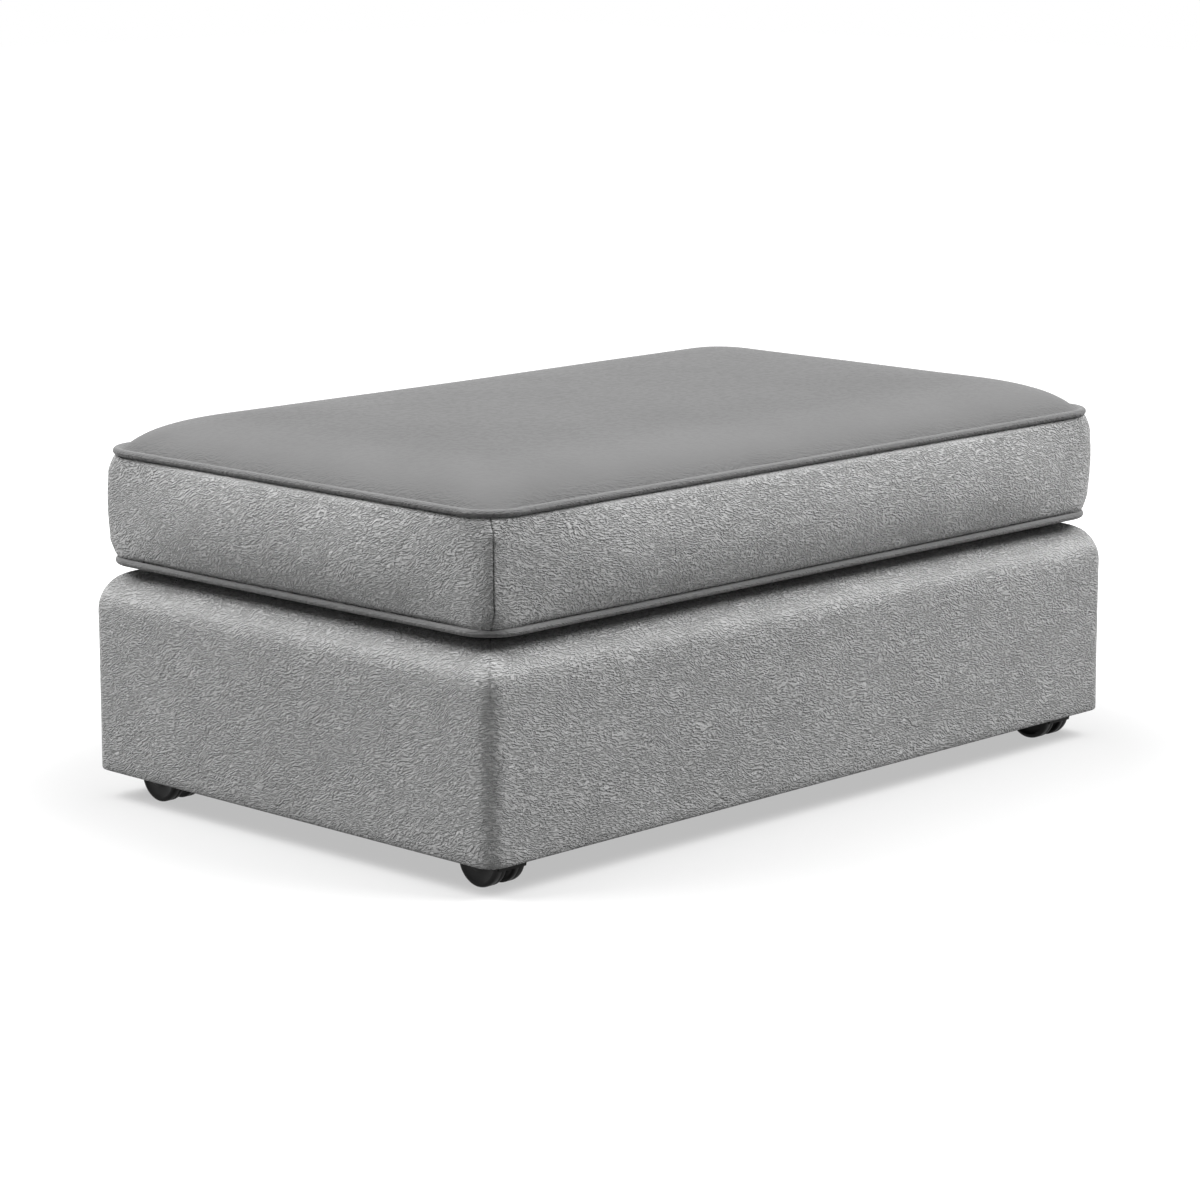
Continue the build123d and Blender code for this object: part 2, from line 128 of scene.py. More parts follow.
def span(value, start, end, low, high):
    """Inputs that map values from start to end onto low to high."""
    return {"Value": value, "From Min": start, "From Max": end, "To Min": low, "To Max": high}


def surface(material, add, colour, shade, relief, depth, sockets):
    """Ends a material: a shaded colour, and a relief of 0 to 1 with its depth in millimetres."""
    toned = add("ShaderNodeVectorMath", {0: linear(colour), "Scale": shade}, operation="SCALE")
    bump = add("ShaderNodeBump", {"Height": relief, "Strength": 1.0, "Distance": depth * MM})
    shader = add("ShaderNodeBsdfPrincipled", {"Base Color": toned, "Normal": bump, **sockets})
    add("ShaderNodeOutputMaterial", {"Surface": shader})
    return material


def grained_leather(name, colour, pebble, crease, depth, lacquer, valley_shade):
    """Pigmented, pebble-embossed cowhide: matt lacquer over short wavy ridges and long dry creases.

    It gives the eye a fine, level ripple of light ridges and valleys darkened by painted shade,
    crossed by faint creases that climb to the right, and a soft sheen only where the hide is drawn
    tight. A value kept at each point adds painted shade where a piece asks for it.
    """
    material, add, place = new_material(name)
    wander = add("ShaderNodeTexNoise", blots(place, 45), "Color")
    centred = add("ShaderNodeVectorMath", {0: wander, 1: (0.5, 0.5, 0.5)}, operation="SUBTRACT")
    warp = {0: centred, 1: (20 * MM,) * 3, 2: place}
    bent = add("ShaderNodeVectorMath", warp, operation="MULTIPLY_ADD")
    # Ridges lie nearly level, climbing a little to the right on the end and sinking on the front
    tilt = {0: bent, 1: (0.24, 0.36, 1.0)}
    lie = add("ShaderNodeVectorMath", tilt, "Value", operation="DOT_PRODUCT")
    rise = add("ShaderNodeVectorMath", {0: (0, 0, 1), "Scale": lie}, operation="SCALE")
    drawn = add("ShaderNodeVectorMath", {0: bent, 1: (0.36, 0.36, 0.0)}, operation="MULTIPLY")
    laid = add("ShaderNodeVectorMath", {0: drawn, 1: rise}, operation="ADD")
    ridges = add("ShaderNodeTexNoise", blots(laid, pebble))
    plateau = add("ShaderNodeMapRange", span(ridges, 0.34, 0.62, 0, 1), **SOFTLY)
    # The hide's long creases follow its pull, up and to the right on both seen sides
    pull = Vector((1, -1, 0.9)).normalized()
    along = add("ShaderNodeVectorMath", {0: bent, 1: pull}, "Value", operation="DOT_PRODUCT")
    shorter = add("ShaderNodeMath", {0: along, 1: -0.6}, operation="MULTIPLY")
    back = add("ShaderNodeVectorMath", {0: pull, "Scale": shorter}, operation="SCALE")
    pulled = add("ShaderNodeVectorMath", {0: bent, 1: back}, operation="ADD")
    height = plateau
    for size, width, bank in ((crease, 0.018, 0.3), (crease * 0.4, 0.04, 0.22)):
        field = add("ShaderNodeTexNoise", blots(pulled, size, 2.0))
        middle = add("ShaderNodeMath", {0: field, 1: 0.5}, operation="SUBTRACT")
        fold = add("ShaderNodeMath", {0: middle}, operation="ABSOLUTE")
        banked = add("ShaderNodeMapRange", span(fold, 0, width, 0, bank), **SOFTLY)
        height = add("ShaderNodeMath", {0: banked, 1: height}, operation="ADD")
    slack = add("ShaderNodeAttribute", output="Fac", attribute_name="slack")
    relief = add("ShaderNodeMath", {0: height, 1: slack}, operation="MULTIPLY")
    # Painted shade: the valleys between the ridges are darker, the more where the grain is full
    deepest_valley_shade = add("ShaderNodeMapRange", span(slack, 0, 1, 1.0, valley_shade))
    painted_valley_shade = add("ShaderNodeMapRange", span(plateau, 0, 1, deepest_valley_shade, 1.0))
    cloud = add("ShaderNodeTexNoise", blots(place, 120, 3.0))
    mottle = add("ShaderNodeMapRange", span(cloud, 0.3, 0.7, 0.97, 1.03), **SOFTLY)
    # Painted shade kept at each point darkens the colour by up to a quarter; the mottle is the
    # hide's own
    painted_shade = add("ShaderNodeAttribute", output="Fac", attribute_name="painted_shade")
    painted_dim = add("ShaderNodeMapRange", span(painted_shade, 0, 1, 1.0, 0.76), **SOFTLY)
    wear_and_shade = add("ShaderNodeMath", {0: mottle, 1: painted_dim}, operation="MULTIPLY")
    shade = add("ShaderNodeMath", {0: wear_and_shade, 1: painted_valley_shade}, operation="MULTIPLY")
    rubbed = add("ShaderNodeMapRange", span(plateau, 0, 1, 0.5, 0.4), **SOFTLY)
    finish = {"Roughness": rubbed, "IOR": 1.5, "Specular IOR Level": lacquer}
    return surface(material, add, colour, shade, relief, depth, finish)


def plain_finish(name, colour, roughness, depth, metallic=0.0, sheen=0.5):
    """An even finish with the faint mottle and tooth that moulding, plating or rolling leaves.

    It gives the eye a soft, slightly broken highlight, so that the part does not look like a
    computed shape.
    """
    material, add, place = new_material(name)
    tooth = add("ShaderNodeTexNoise", blots(place, 0.6, 2.0))
    cloud = add("ShaderNodeTexNoise", blots(place, 18, 3.0))
    shade = add("ShaderNodeMapRange", span(cloud, 0.3, 0.7, 0.94, 1.06), **SOFTLY)
    polish = span(cloud, 0.3, 0.7, roughness * 0.85, roughness * 1.15)
    rubbed = add("ShaderNodeMapRange", polish, **SOFTLY)
    finish = {"Roughness": rubbed, "Metallic": metallic, "Specular IOR Level": sheen}
    return surface(material, add, colour, shade, tooth, depth, finish)


def sawn_wood(name, colour, axis):
    """Kiln-dried softwood sawn along one axis.

    It gives the eye long darker bands of late wood, a few millimetres apart, and the dull,
    fibrous face that a saw leaves.
    """
    material, add, place = new_material(name)
    lengthwise = [0.03 if k == axis else 1.0 for k in range(3)]
    grain = add("ShaderNodeVectorMath", {0: place, 1: lengthwise}, operation="MULTIPLY")
    rings = add("ShaderNodeTexNoise", blots(grain, 11, 1.0, 0.6))
    fibres = add("ShaderNodeTexNoise", blots(grain, 0.8, 2.0))
    late = add("ShaderNodeMapRange", span(rings, 0.42, 0.58, 0.78, 1.06), **SOFTLY)
    fine = add("ShaderNodeMapRange", span(fibres, 0.3, 0.7, 0.9, 1.06), **SOFTLY)
    tones = add("ShaderNodeMath", {0: late, 1: fine}, operation="MULTIPLY")
    return surface(material, add, colour, tones, fibres, 0.12, {"Roughness": 0.72})


def pressed_board(name, colour):
    """Hard-pressed fibreboard: it gives the eye a dull brown face with darker and paler flecks."""
    material, add, place = new_material(name)
    flecks = add("ShaderNodeTexNoise", blots(place, 1.1, 3.0))
    tones = add("ShaderNodeMapRange", span(flecks, 0.3, 0.7, 0.8, 1.22), **SOFTLY)
    return surface(material, add, colour, tones, flecks, 0.06, {"Roughness": 0.82})


def woven_cloth(name, colour, pitch, depth, across="Y"):
    """Plain weave in the plane of X and another axis, its threads a pitch in millimetres apart.

    It gives the eye rows of small rounded threads that pass over and under each other, and an
    even, matt surface from farther off.
    """
    material, add, place = new_material(name)
    bands = {"Vector": place, "Scale": WAVE_PERIOD / (pitch * MM)}
    bands.update({"Distortion": 0.4, "Detail": 1.0, "Detail Scale": 0.3})
    warp, weft = (
        add("ShaderNodeTexWave", bands, "Fac", wave_type="BANDS", bands_direction=axis)
        for axis in ("X", across)
    )
    thread = add("ShaderNodeMath", {0: warp, 1: weft}, operation="MAXIMUM")
    wear_and_shade = add("ShaderNodeTexNoise", blots(place, 30, 2.0))
    lit = add("ShaderNodeMapRange", span(thread, 0, 1, 0.72, 1.05), **SOFTLY)
    faded = add("ShaderNodeMapRange", span(wear_and_shade, 0.3, 0.7, 0.94, 1.06), **SOFTLY)
    shade = add("ShaderNodeMath", {0: lit, 1: faded}, operation="MULTIPLY")
    return surface(material, add, colour, shade, thread, depth, {"Roughness": 0.85})


def open_foam(name, colour):
    """Cut polyurethane foam: it gives the eye a pale, matt face pricked with small round cells."""
    material, add, place = new_material(name)
    cells = add("ShaderNodeTexVoronoi", {"Vector": place, "Scale": 1 / (1.4 * MM)})
    shade = add("ShaderNodeMapRange", span(cells, 0.1, 0.7, 0.86, 1.03), **SOFTLY)
    return surface(material, add, colour, shade, cells, 0.25, {"Roughness": 0.92})


def lofty_fibre(name, colour):
    """Bonded polyester wadding: it gives the eye a white, downy surface of crossing hairs."""
    material, add, place = new_material(name)
    ways = (
        add("ShaderNodeVectorMath", {0: place, 1: shares}, operation="MULTIPLY")
        for shares in ((0.08, 1.0, 1.0), (1.0, 0.08, 0.3))
    )
    one, other = (add("ShaderNodeTexNoise", blots(way, 0.7, 2.0, 0.8)) for way in ways)
    tangle = add("ShaderNodeMath", {0: one, 1: other}, operation="MAXIMUM")
    shade = add("ShaderNodeMapRange", span(tangle, 0.4, 0.7, 0.9, 1.02), **SOFTLY)
    return surface(material, add, colour, shade, tangle, 0.5, {"Roughness": 0.95})


def spunbond(name, colour):
    """Thin bonded cloth: it gives the eye rows of small pressed dots in a web of filaments."""
    material, add, place = new_material(name)
    rows = {"Vector": place, "Scale": 1 / (1.8 * MM), "Randomness": 0.1}
    dots = add("ShaderNodeTexVoronoi", rows)
    web = add("ShaderNodeTexNoise", blots(place, 0.9, 3.0, 1.0))
    pressed = add("ShaderNodeMapRange", span(dots, 0.15, 0.4, 0.7, 1.1), **SOFTLY)
    strands = add("ShaderNodeMapRange", span(web, 0.3, 0.7, 0.8, 1.3), **SOFTLY)
    shade = add("ShaderNodeMath", {0: pressed, 1: strands}, operation="MULTIPLY")
    relief = add("ShaderNodeMapRange", span(dots, 0.15, 0.45, 0, 1), **SOFTLY)
    return surface(material, add, colour, shade, relief, 0.12, {"Roughness": 0.8})


# Forms


def smooth_curve(knots, at):
    """Monotone cubic through (place, value) knots, read at an array of places."""
    xs, ys = np.array(knots, float).T
    step = np.diff(xs)
    rise = np.diff(ys) / step
    slope = np.zeros_like(ys)
    slope[0], slope[-1] = rise[0], rise[-1]
    for k in range(1, len(xs) - 1):
        if rise[k - 1] * rise[k] > 0:
            wa = 2 * step[k] + step[k - 1]
            wb = step[k] + 2 * step[k - 1]
            slope[k] = (wa + wb) / (wa / rise[k - 1] + wb / rise[k])
    at = np.clip(at, xs[0], xs[-1])
    k = np.clip(np.searchsorted(xs, at) - 1, 0, len(step) - 1)
    h = step[k]
    s = (at - xs[k]) / h
    return (
        ys[k] * (1 + 2 * s) * (1 - s) ** 2
        + h * slope[k] * s * (1 - s) ** 2
        + ys[k + 1] * s * s * (3 - 2 * s)
        + h * slope[k + 1] * s * s * (s - 1)
    )


def on_outline(u, v, half_x, half_y, radius):
    """Moves points of a square's rim onto a rounded rectangle, at the same share of each side."""
    reach = np.maximum(np.maximum(np.abs(u), np.abs(v)), 1e-9)
    long_side = np.abs(v) >= np.abs(u)
    share = np.where(long_side, u, v) / reach
    straight = np.where(long_side, half_x, half_y) - radius
    run = np.abs(share) * (straight + radius * math.pi / 4)
    turn = np.clip((run - straight) / np.maximum(radius, 1e-9), 0, math.pi / 4)
    along = np.sign(share) * (np.minimum(run, straight) + radius * np.sin(turn))
    out = np.where(long_side, half_y, half_x) - radius * (1 - np.cos(turn))
    x = np.where(long_side, along, np.sign(u) * out)
    y = np.where(long_side, np.sign(v) * out, along)
    return x, y


def inset_at(x, y, half_x, half_y, radius_at):
    """How far each point lies inside a rounded rectangle whose corner radius follows the inset."""
    low = np.full(x.shape, -0.03)
    high = np.full(x.shape, min(half_x, half_y))
    for _ in range(40):
        middle = (low + high) / 2
        radius = radius_at(middle)
        dx = np.abs(x) - (half_x - middle - radius)
        dy = np.abs(y) - (half_y - middle - radius)
        outside = np.hypot(np.maximum(dx, 0), np.maximum(dy, 0)) + np.minimum(np.maximum(dx, dy), 0)
        inside = outside - radius < 0
        low = np.where(inside, middle, low)
        high = np.where(inside, high, middle)
    return (low + high) / 2


def rim_share(u, v):
    """How far out points of a square lie: 0 in its middle to 1 on its rim."""
    return np.maximum(np.abs(u), np.abs(v))


def rim_layers(bm):
    """Layers that keep each point's place on the square it was drawn on."""
    return bm.verts.layers.float.new("rim_u"), bm.verts.layers.float.new("rim_v")


def rim_values(verts, layers):
    """The kept places of some points, as two arrays."""
    u = np.array([vert[layers[0]] for vert in verts])
    v = np.array([vert[layers[1]] for vert in verts])
    return u, v


def plan_grid(bm, layers, counts, half_x, half_y, corner, packed=lambda share: share):
    """A grid over a rounded rectangle. Returns its points, their x and y, and their reach."""
    made = bmesh.ops.create_grid(bm, x_segments=counts[0], y_segments=counts[1], size=1.0)["verts"]
    for vert in made:
        vert[layers[0]] = vert.co.x
        vert[layers[1]] = vert.co.y
    u, v = rim_values(made, layers)
    share = packed(rim_share(u, v))
    x, y = on_outline(u, v, half_x * share, half_y * share, corner * share)
    return made, x, y, share


def put(verts, x, y, z):
    """Sets points to arrays of coordinates."""
    for vert, place in zip(verts, np.stack(np.broadcast_arrays(x, y, z), 1)):
        vert.co = place


def next_ring(bm, edges):
    """Extrudes an open rim once. Returns its new edges and points."""
    made = bmesh.ops.extrude_edge_only(bm, edges=edges)["geom"]
    rim = [part for part in made if isinstance(part, bmesh.types.BMEdge) and part.is_boundary]
    verts = [part for part in made if isinstance(part, bmesh.types.BMVert)]
    return rim, verts


def ring_at(bm, rim, layers, half_x, half_y, corner, height):
    """Extrudes a rim onto a rounded rectangle at a height. Returns its new edges and points."""
    rim, verts = next_ring(bm, rim)
    put(verts, *on_outline(*rim_values(verts, layers), half_x, half_y, corner), height)
    return rim, verts


def finish_mesh(bm, name, *kinds, smooth=True):
    """Turns a bmesh into an object of some materials, with its faces pointing outwards."""
    bmesh.ops.recalc_face_normals(bm, faces=bm.faces)
    mesh = bpy.data.meshes.new(name)
    bm.to_mesh(mesh)
    bm.free()
    mesh.shade_smooth() if smooth else mesh.shade_flat()
    for kind in kinds:
        mesh.materials.append(bpy.data.materials[kind])
    made = bpy.data.objects.new(name, mesh)
    bpy.context.scene.collection.objects.link(made)
    return made


def mark(piece, name, rule):
    """Keeps a value of 0 to 1 at each point: slack, how fully the hide is grained, or painted
    shade.
    """
    kept = piece.data.attributes.new(name, "FLOAT", "POINT")
    kept.data.foreach_set("value", [rule(vert.co, vert.normal) for vert in piece.data.vertices])


def read(rows, name, width=1):
    """One property of all rows of a mesh's data, as an array."""
    values = np.empty(len(rows) * width)
    rows.foreach_get(name, values)
    return values.reshape(len(rows), width).squeeze()


def reshape(piece, kind, **settings):
    """Keeps the shape that a modifier gives a finished piece, and leaves no modifier on it."""
    modifier = piece.modifiers.new(kind, kind)
    for name, value in settings.items():
        setattr(modifier, name, value)
    shown = piece.evaluated_get(bpy.context.evaluated_depsgraph_get())
    mesh = bpy.data.meshes.new_from_object(shown)
    old = piece.data
    mesh.name = old.name
    piece.modifiers.clear()
    piece.data = mesh
    bpy.data.meshes.remove(old)
    return piece


def dress(piece, body, slot, *nodes, fill=None):
    """Says what a piece rides on and which CAD parts it stands for; fill, how full a padded one is,
    is not used.
    """
    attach(piece, body)
    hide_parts(*nodes)


def outline_gap(u, v, half_x, half_y):
    """Distance along the outline from points of a square's rim to their nearest corner."""
    long_side = np.abs(v) >= np.abs(u)
    share = np.minimum(np.abs(u), np.abs(v)) / np.maximum(rim_share(u, v), 1e-9)
    return (1 - share) * np.where(long_side, half_x, half_y)


def eased(value):
    """0 to 1 with a soft start and end."""
    value = np.clip(value, 0, 1)
    return value * value * (3 - 2 * value)


def drift(place, size):
    """Slow waves over a padded side, about minus one to one, always the same."""
    x, y, z = place / size
    return (
        math.sin(5.1 * x + 2.3 * z + 0.7)
        + math.sin(6.3 * y - 3.1 * z + 1.9)
        + math.sin(3.7 * (x - y) + 6.1 * z + 4.2)
        + math.sin(11.3 * x + 9.7 * y + 4.9 * z)
    ) / 4


def faces_where(faces, test):
    """The faces whose centre passes a test."""
    return [face for face in faces if test(face.calc_center_median())]


def cut_lines(bm, faces, origin, across, offsets):
    """Cuts faces by planes at offsets from an origin. Returns the points that were cut."""
    geom = (
        list({vert for face in faces for vert in face.verts})
        + list({edge for face in faces for edge in face.edges})
        + list(faces)
    )
    for offset in offsets:
        geom = bmesh.ops.bisect_plane(
            bm, geom=geom, dist=1e-7, plane_co=origin + across * offset, plane_no=across
        )["geom"]
    return [part for part in geom if isinstance(part, bmesh.types.BMVert)]


def edit_mesh(piece):
    """A bmesh of a finished object's mesh."""
    bm = bmesh.new()
    bm.from_mesh(piece.data)
    return bm


def keep_mesh(bm, piece):
    """Writes a bmesh back to its object."""
    bm.to_mesh(piece.data)
    bm.free()
    piece.data.shade_smooth()


def ring_shell(name, half, rings, counts, material, lid=False, crown=0.0):
    """A shell of rings round a plan, from (height, inset, corner radius) rows."""
    half_x, half_y = half
    bm = bmesh.new()
    layers = rim_layers(bm)
    height, inset, corner = rings[0]
    drawn, x, y, reach = plan_grid(bm, layers, counts, half_x - inset, half_y - inset, corner)
    put(drawn, x, y, height + crown * (1 - reach ** 4))
    rim = [edge for edge in bm.edges if edge.is_boundary]
    if not lid:
        kept = {vert for edge in rim for vert in edge.verts}
        bmesh.ops.delete(bm, geom=list(bm.faces), context="FACES_ONLY")
        bmesh.ops.delete(bm, geom=[vert for vert in bm.verts if vert not in kept], context="VERTS")
        rim = list(bm.edges)
    for height, inset, corner in rings[1:]:
        rim, _ = ring_at(bm, rim, layers, half_x - inset, half_y - inset, corner, height)
    if lid:
        bmesh.ops.contextual_create(bm, geom=rim)
    return finish_mesh(bm, name, material)


def eased_copy(node, name, width, body, material, slot):
    """A CAD part's own shape with its sharp edges eased, standing for that part."""
    bm = edit_mesh(frame["nodes"][node])
    bmesh.ops.remove_doubles(bm, verts=bm.verts, dist=0.005 * MM)
    bmesh.ops.dissolve_limit(
        bm, angle_limit=math.radians(0.5), use_dissolve_boundaries=False,
        verts=bm.verts, edges=bm.edges, delimit=set(),
    )
    sharp = [
        edge for edge in bm.edges
        if len(edge.link_faces) == 2 and edge.calc_face_angle(0) > math.radians(35)
    ]
    bmesh.ops.bevel(
        bm, geom=sharp, offset=width, affect="EDGES", segments=2, profile=0.5, material=-1,
        clamp_overlap=True,
    )
    piece = finish_mesh(bm, name, material)
    piece.data.set_sharp_from_angle(angle=math.radians(50))
    reshape(piece, "WEIGHTED_NORMAL", keep_sharp=True)
    dress(piece, body, slot, node)


# Settings that a user would change


class OttomanCushion(bpy.types.PropertyGroup):
    seam_setback: bpy.props.FloatProperty(
        name="Seam setback", description="Seams' distance inside the base's outline",
        default=12.5 * MM, unit="LENGTH",
    )
    corner_radius: bpy.props.FloatProperty(
        name="Corner radius", description="Plan radius of the welted corners",
        default=42 * MM, unit="LENGTH",
    )
    crown: bpy.props.FloatProperty(
        name="Crown", description="Rise of the top panel over its seam",
        default=46 * MM, unit="LENGTH",
    )
    bulge: bpy.props.FloatProperty(
        name="Bulge", description="Swell of the boxing past its seams, along the zip",
        default=10.5 * MM, unit="LENGTH",
    )
    side_bulge: bpy.props.FloatProperty(
        name="Side bulge", description="Swell of the boxing halfway along the other sides",
        default=18.5 * MM, unit="LENGTH",
    )
    seam_shift: bpy.props.FloatProperty(
        name="Seam shift", description="How far past its corner each upright seam sits",
        default=1.5 * MM, unit="LENGTH",
    )
    filled_share: bpy.props.FloatProperty(
        name="Filled share", description="Share of the simulated change that is kept",
        default=0.35, subtype="FACTOR",
    )
    welt_radius: bpy.props.FloatProperty(
        name="Welt radius", description="Radius of the covered cord",
        default=4.3 * MM, unit="LENGTH",
    )
    pressure: bpy.props.FloatProperty(
        name="Filling pressure", description="Push of the filling on the leather", default=4.0
    )
    swell_limit: bpy.props.FloatProperty(
        name="Swell limit", description="Farthest that the filling moves a point",
        default=22 * MM, unit="LENGTH",
    )


class OttomanBase(bpy.types.PropertyGroup):
    corner_radius: bpy.props.FloatProperty(
        name="Corner radius", description="Plan radius of the upright corners",
        default=22 * MM, unit="LENGTH",
    )
    edge_radius: bpy.props.FloatProperty(
        name="Top edge radius", description="Radius of the padded top edge",
        default=47 * MM, unit="LENGTH",
    )
    deck_border: bpy.props.FloatProperty(
        name="Deck border", description="Width of the leather border round the deck cloth",
        default=92 * MM, unit="LENGTH",
    )
    leather: bpy.props.FloatProperty(
        name="Leather", description="Thickness of the hide", default=1.2 * MM, unit="LENGTH"
    )


class OttomanFinish(bpy.types.PropertyGroup):
    leather: bpy.props.StringProperty(
        name="Leather", description="sRGB hex colour of the hide", default="#bababa"
    )
    # The top's copy of the hide is smoother and much darker: painted shade
    top: bpy.props.StringProperty(
        name="Drawn leather", description="sRGB hex colour of the smooth top", default="#6d6d6d"
    )
    # The welts' copy of the hide is darker: painted shade
    welt: bpy.props.StringProperty(
        name="Welts", description="sRGB hex colour of the welts' casing", default="#6e6e6e"
    )
    caster: bpy.props.StringProperty(
        name="Casters", description="sRGB hex colour of the nylon", default="#161616"
    )


class OttomanStage(bpy.types.PropertyGroup):
    azimuth: bpy.props.FloatProperty(
        name="Azimuth", description="Direction that the camera looks, from +Y towards +X",
        default=math.radians(46.03), subtype="ANGLE",
    )
    pitch: bpy.props.FloatProperty(
        name="Pitch", description="How far the camera looks down",
        default=math.radians(11.31), subtype="ANGLE",
    )
    distance: bpy.props.FloatProperty(
        name="Distance", description="From the camera to the object", default=4.503, unit="LENGTH"
    )
    focal_share: bpy.props.FloatProperty(
        name="Focal share", description="Focal length over the picture's width",
        default=3760.4 / 1200,
    )
    aim_height: bpy.props.FloatProperty(
        name="Aim height", description="Height that the camera looks at",
        default=202.3 * MM, unit="LENGTH",
    )
    aim_side: bpy.props.FloatProperty(
        name="Aim side", description="How far right of the middle the camera looks",
        default=-18.7 * MM, unit="LENGTH",
    )


# Pieces


# From the middle to the edges of the floor's paper, in metres
PAPER_REACH = 14.0


class OTTOMAN_OT_stage(bpy.types.Operator):
    """Pale floor, soft lamps and the camera"""

    bl_idname = "ottoman.stage"
    bl_label = "Studio"

    def execute(self, context):
        scene = context.scene
        stage = scene.ottoman_stage
        scene.view_settings.view_transform = "Standard"
        ahead = Vector((
            math.sin(stage.azimuth) * math.cos(stage.pitch),
            math.cos(stage.azimuth) * math.cos(stage.pitch),
            -math.sin(stage.pitch),
        ))
        right = Vector((math.cos(stage.azimuth), -math.sin(stage.azimuth), 0))
        target = Vector((0, 0, stage.aim_height)) + right * stage.aim_side
        lens = bpy.data.cameras.new("camera")
        lens.sensor_width = 36
        lens.lens = stage.focal_share * lens.sensor_width
        camera = bpy.data.objects.new("camera", lens)
        camera.location = target - ahead * stage.distance
        camera.rotation_euler = ahead.to_track_quat("-Z", "Y").to_euler()
        scene.collection.objects.link(camera)
        scene.camera = camera
        self.lay_floor()
        self.hang_lamps(scene, ahead)
        self.light_world(scene)
        return {"FINISHED"}

    def lay_floor(self):
        """Seamless paper: it takes the object's shadow near by and is plain white farther off,
        where its glow for the camera is full; near the object the glow falls to half, painting
        shade round it.
        """
        paper, add, place = new_material("white_seamless_paper")
        shown = self.seen_rays(add)
        away = add("ShaderNodeVectorMath", {0: place}, "Value", operation="LENGTH")
        # Painted shade: the paper's glow falls to half near the object
        fade = add("ShaderNodeMapRange", span(away, 0.6, 1.05, 0.5, 1.0), **SOFTLY)
        lift = add("ShaderNodeMath", {0: shown, 1: fade}, operation="MULTIPLY")
        bright = add("ShaderNodeMapRange", span(shown, 0, 1, 0.25, 0.32))
        matt = add("ShaderNodeBsdfDiffuse", {"Color": bright})
        glow = add("ShaderNodeEmission", {"Strength": lift})
        both = add("ShaderNodeAddShader", {0: matt, 1: glow})
        add("ShaderNodeOutputMaterial", {"Surface": both})
        bm = bmesh.new()
        bmesh.ops.create_grid(bm, x_segments=1, y_segments=1, size=PAPER_REACH)
        floor = finish_mesh(bm, "floor", paper.name)

    def seen_rays(self, add):
        """1 for rays from the camera and for those that a mirror or glass would show."""
        rays = add("ShaderNodeLightPath").node.outputs
        shown = rays["Is Camera Ray"]
        for kind in ("Is Glossy Ray", "Is Transmission Ray"):
            shown = add("ShaderNodeMath", {0: shown, 1: rays[kind]}, operation="MAXIMUM")
        return shown

    def hang_lamps(self, scene, ahead):
        """Square softboxes, placed by their turn from the camera's side and their rise."""
        back = Vector((-ahead.x, -ahead.y, 0)).normalized()
        middle = Vector((0, 0, 0.25))
        away, size = 5.0, 3.0
        for name, turn, rise, power in (
            ("left_softbox", -83, 50, 326),
            ("right_softbox", 83, 50, 332),
            ("overhead_softbox", 0, 89, 85),
        ):
            rise = math.radians(rise)
            side = Matrix.Rotation(math.radians(turn), 3, "Z") @ back
            direction = side * math.cos(rise) + Vector((0, 0, math.sin(rise)))
            lamp = bpy.data.lights.new(name, "AREA")
            lamp.shape = "SQUARE"
            lamp.size = size
            lamp.energy = power
            hung = bpy.data.objects.new(name, lamp)
            hung.location = middle + direction * away
            hung.rotation_euler = (-direction).to_track_quat("-Z", "Y").to_euler()
            scene.collection.objects.link(hung)

    def light_world(self, scene):
        """White where it is seen, and almost dark for the object, which the lamps light."""
        scene.world = bpy.data.worlds.new("studio")
        add = emptied(scene.world)
        strength = add("ShaderNodeMapRange", span(self.seen_rays(add), 0, 1, 0.01, 1.0))
        sky = add("ShaderNodeBackground", {"Color": (1, 1, 1, 1), "Strength": strength})
        add("ShaderNodeOutputWorld", {"Surface": sky})


# Faces across and along the cushion's panels
PANEL_GRID = (88, 56)
# Rings of the boxing from seam to seam
BOXING_RINGS = 25
# The lift that keeps the cushion clear of its deck, as in the CAD
SEAT_GAP = 0.3 * MM
# The filling starts from a crown this much lower, and blows it up for so many frames
SLIM_CROWN = 0.86
FILLING_FRAMES = 20
# Going round the plan against the clock, each side's strip starts at a corner seam
CORNER_SIGNS = ((-1, -1), (1, -1), (1, 1), (-1, 1))
START_WAYS = (Vector((1, 0, 0)), Vector((0, 1, 0)), Vector((-1, 0, 0)), Vector((0, -1, 0)))
# The crown's share of its height, by the share of the way in from the seam
CROWN_KNOTS = (
    (0.0, 0.0), (0.026, 0.21), (0.096, 0.53), (0.216, 0.79), (0.386, 0.94), (0.65, 1.0), (1.0, 1.0),
)
# How far the underside curls in, by the share of the way down to the deck
UNDERSIDE_KNOTS = ((0.0, 0.0), (0.45, 0.0084), (0.86, 0.0192), (1.0, 0.036))


def seam_sizes(settings):
    """Half length and half width of the cushion's seams."""
    return BASE_HIGH.x - settings.seam_setback, BASE_HIGH.y - settings.seam_setback


def draw_in(share):
    """Packs a grid's rings closer towards its rim."""
    return 1.22 * share - 0.22 * share ** 4


